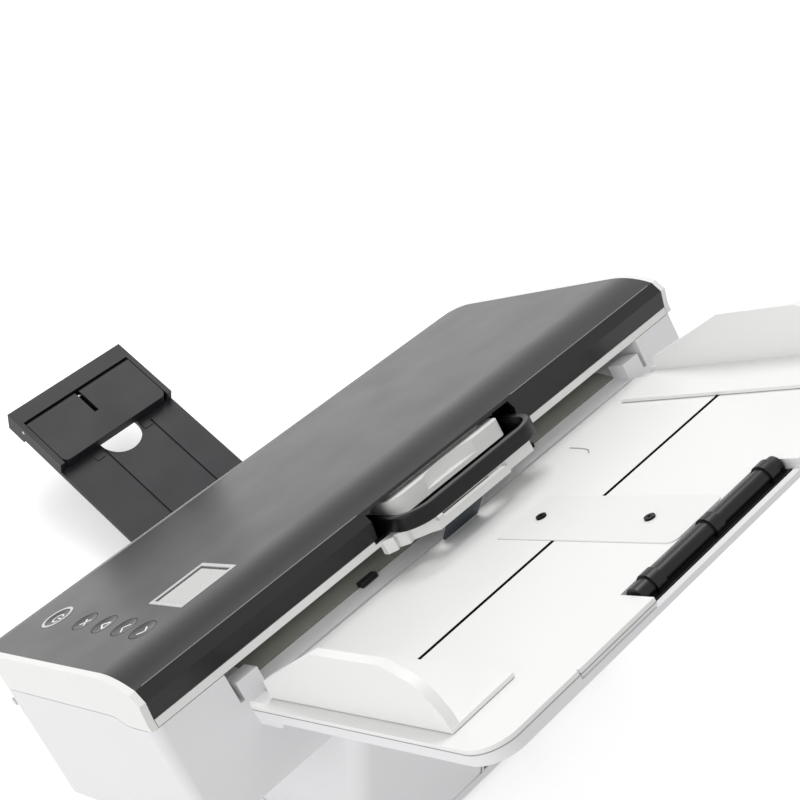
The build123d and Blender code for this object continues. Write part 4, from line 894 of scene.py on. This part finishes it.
@dataclass(frozen=True)
class Lamp:
    """A square soft lamp that points at the object, in metres and watts."""

    name: str
    place: Triple
    power: float
    side: float = 1.4
    aim: Triple = (0.0, 0.0, 0.12)

    def build(self) -> None:
        """Makes the lamp."""
        data = bpy.data.lights.new(self.name, "AREA")
        data.shape = "SQUARE"
        data.size = self.side
        data.energy = self.power
        lamp = bpy.data.objects.new(self.name, data)
        lamp.location = self.place
        look = Vector(self.aim) - Vector(self.place)
        lamp.rotation_euler = look.to_track_quat("-Z", "Y").to_euler()
        bpy.context.scene.collection.objects.link(lamp)


@dataclass
class Studio:
    """Pale floor, soft lamps and the camera at the photograph's place, in metres."""

    floor_size: float = 14.0
    world_colour: str = "ffffff"
    world_light: float = 0.6
    world_shown: float = 1.0
    lamps: tuple[Lamp, ...] = (
        Lamp("key", (-0.9, -1.4, 2.0), 31.5),
        Lamp("fill", (2.2, 0.3, 0.9), 14.0),
    )
    camera_place: Triple = (0.32023, 0.35366, 0.64903)
    look: Triple = (-0.5122, -0.4837, -0.7097)
    lens_mm: float = 70.24
    sensor_mm: float = 36.0
    clip: Pair = (0.05, 50.0)

    def build_floor(self) -> None:
        """Makes the floor, which the camera sees white and which keeps the object's shadow."""
        shape = bmesh.new()
        bmesh.ops.create_grid(shape, x_segments=1, y_segments=1, size=self.floor_size / 2)
        floor = finished_piece("studio_floor", shape, Matrix.Identity(4), StudioPaper().build())

    def build_world(self) -> None:
        """Makes the even light round the object, white where the camera sees it."""
        world = bpy.data.worlds.new("studio")
        bpy.context.scene.world = world
        world.use_nodes = True
        tree = world.node_tree
        tree.nodes.clear()
        soft, white = (
            add_node(
                tree, "ShaderNodeBackground", Color=linear(self.world_colour), Strength=strength
            ).outputs[0]
            for strength in (self.world_light, self.world_shown)
        )
        mixed = add_node(tree, "ShaderNodeMixShader", in0=add_shown(tree), in1=soft, in2=white)
        add_node(tree, "ShaderNodeOutputWorld", Surface=mixed.outputs[0])

    def build_camera(self) -> None:
        """Makes the camera at the place worked out from the photograph."""
        data = bpy.data.cameras.new("photo_camera")
        data.lens = self.lens_mm
        data.sensor_width = self.sensor_mm
        data.clip_start, data.clip_end = self.clip
        camera = bpy.data.objects.new("photo_camera", data)
        camera.location = self.camera_place
        camera.rotation_euler = Vector(self.look).to_track_quat("-Z", "Y").to_euler()
        bpy.context.scene.collection.objects.link(camera)
        bpy.context.scene.camera = camera

    def build(self) -> None:
        """Makes the whole studio."""
        self.build_floor()
        self.build_world()
        for lamp in self.lamps:
            lamp.build()
        self.build_camera()
        bpy.context.scene.view_settings.view_transform = "Standard"


@dataclass
class Finishes:
    """Every finish of the scanner, by the name of the record's slot."""

    recipes: dict[str, Finish] = field(
        default_factory=lambda: {
            # ABS and polystyrene mouldings have a soft sheen, broken up by the mould's grain.
            "housing_shell": Moulded("white ABS, spark-eroded", "ebebec", "e8e8ea", 0.55),
            "white_plastic": Moulded("white ABS, satin", "ececea", "e9e9e7", 0.45),
            "tray_plastic": Moulded("white polystyrene, satin", "f0f0ef", "eeeeed", 0.42),
            "cover_skin": Moulded("dark grey ABS, satin", "0f0e0e", "0d0c0c", 0.3, ior=1.44),
            "button_plastic": Moulded(
                "dark grey ABS button", "0f0e0e", "0d0c0c", 0.3, ior=1.44
            ),
            "dark_plastic": Moulded(
                "charcoal ABS, fine grain", "1d1d21", "1a1a1d", 0.5, ior=1.4
            ),
            "black_plastic": Moulded("black ABS, satin", "040405", "030304", 0.3, ior=1.4),
            "silver_trim": Moulded("silver lacquer on ABS", "c9c9c8", "bdbdbc", 0.28),
            # Elastomers and rubbers are dull, and a ground roller shows a coarser grain.
            "slate_plastic": Moulded("slate TPE, matt", "323a42", "2c333b", 0.6),
            "roller_rubber": Moulded(
                "EPDM rubber, ground", "3a3a3d", "323234", 0.75, grain_mm=1.4, grain_depth=0.08
            ),
            "foot_rubber": Moulded("silicone rubber, moulded", "2b2b2b", "262626", 0.7),
            # The display's lens lets nothing through while it is off, and the scan glass does.
            "display_glass": Pane("grey display lens", "bfc0be", 0.0, 0.22),
            "scan_glass": Pane("float glass", "eef3f0"),
            # Bare and plated steel mirror the room, drawn out by the marks of the tool.
            "shaft_steel": Steel("turned steel", "b9b9ba"),
            "screw_steel": Steel("zinc-plated steel", "a9a9a6", 0.38),
            "socket_shell": Steel("tinned steel", "b4b4b2", 0.3),
            "circuit_board": Board(),
        }
    )

    def build(self) -> dict[str, bpy.types.Material]:
        """Makes every material and gives them by slot."""
        return {name: recipe.build() for name, recipe in self.recipes.items()}


@dataclass
class Scanner:
    """The whole scanner: carried-over nodes, softened nodes and the scene's own details."""

    frame: dict
    finishes: dict[str, bpy.types.Material]
    softened: dict[str, float] = field(
        default_factory=lambda: {
            "cover_shell": 0.5,
            "cover_band": 0.6,
            "upper_paper_guide": 0.3,
            "lower_housing": 0.6,
            "base_housing": 1.0,
            "tray_top": 0.4,
            "tray_bottom": 0.8,
            "centre_plate": 0.2,
            "guide_right": 0.5,
            "guide_left": 0.5,
            "gap_lever": 0.5,
            "handle_loop": 0.9,
            "module_frame": 0.4,
            "rest_flap": 0.4,
            "output_tray": 0.5,
            "stop_flap": 0.5,
            "display_bezel": 0.3,
        }
    )
    special: dict[str, Finish] = field(
        default_factory=lambda: {
            "plate_screws": Steel("blackened steel", "1e1e20", 0.42),
            # The liner is drawn mid grey as painted shade: the throat's pale surfaces lie in shade
            # there.
            "lower_paper_guide": Moulded("grey ABS, satin", "9c9c94", "969690", 0.5),
        }
    )
    ink: Finish = Moulded("white pad-printed ink", "f6f6f4", "f0f0ee", 0.5)
    # Grey for the tray's joint line, and painted shade along the rib's step edge.
    joint_and_painted_shade: Finish = Moulded("grey polystyrene", "a4a4a0", "9c9c98", 0.5)
    # Paler grey for the crest line, a painted highlight along the crease.
    polish: Finish = Moulded("dark grey ABS, polished edge", "7a7a7a", "707070", 0.25)

    def slots(self) -> dict[str, str]:
        """Gives each node's slot, as the record has it."""
        return {s["node"]: s["material_slot"] for s in self.frame["record"]["subparts"]}

    def dress_nodes(self) -> None:
        """Gives every carried-over node the finish of its slot, or its own."""
        slots = self.slots()
        special = {name: recipe.build() for name, recipe in self.special.items()}
        for name, node in self.frame["nodes"].items():
            finish = special.get(name, self.finishes[slots[name]])
            for place in node.material_slots:
                place.material = finish
            if not node.material_slots:
                node.data.materials.append(finish)

    def soften(self) -> None:
        """Makes the softened copies."""
        slots = self.slots()
        by_body = self.frame["record"]["behaviour"]["bodies"]
        bodies = {node: body for body, nodes in by_body.items() for node in nodes}
        for name, radius in self.softened.items():
            slot = slots[name]
            piece = SoftenedNode(name, bodies[name], slot, self.finishes[slot], radius)
            made = piece.build(self.frame)
            log.info("softened %s with %d faces", made.name, len(made.data.polygons))

    def add_details(self) -> None:
        """Makes the details that the CAD leaves out."""
        black = self.finishes["black_plastic"]
        joint_and_painted_shade = self.joint_and_painted_shade.build()
        details = (
            ButtonSymbols(finish=self.ink.build()),
            DisplayRecessShade(finish=black),
            SlotShade(finish=black),
            ThroatHoleShade(finish=black),
            CrestEdge(finish=self.polish.build()),
            TraySeam(self.frame["nodes"]["tray_top"], finish=joint_and_painted_shade),
            TrayMark(finish=joint_and_painted_shade),
        )
        for detail in details:
            for piece in detail.build():
                log.info("made %s", piece.name)

    def build(self) -> None:
        """Dresses the whole scanner."""
        self.dress_nodes()
        self.soften()
        self.add_details()


def main() -> None:
    """Builds the scene in order."""
    logging.basicConfig(level=logging.INFO, format="%(name)s: %(message)s")
    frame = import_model()
    Studio().build()
    Scanner(frame, Finishes().build()).build()
    log.info("sizes written")


if __name__ == "__main__":
    main()
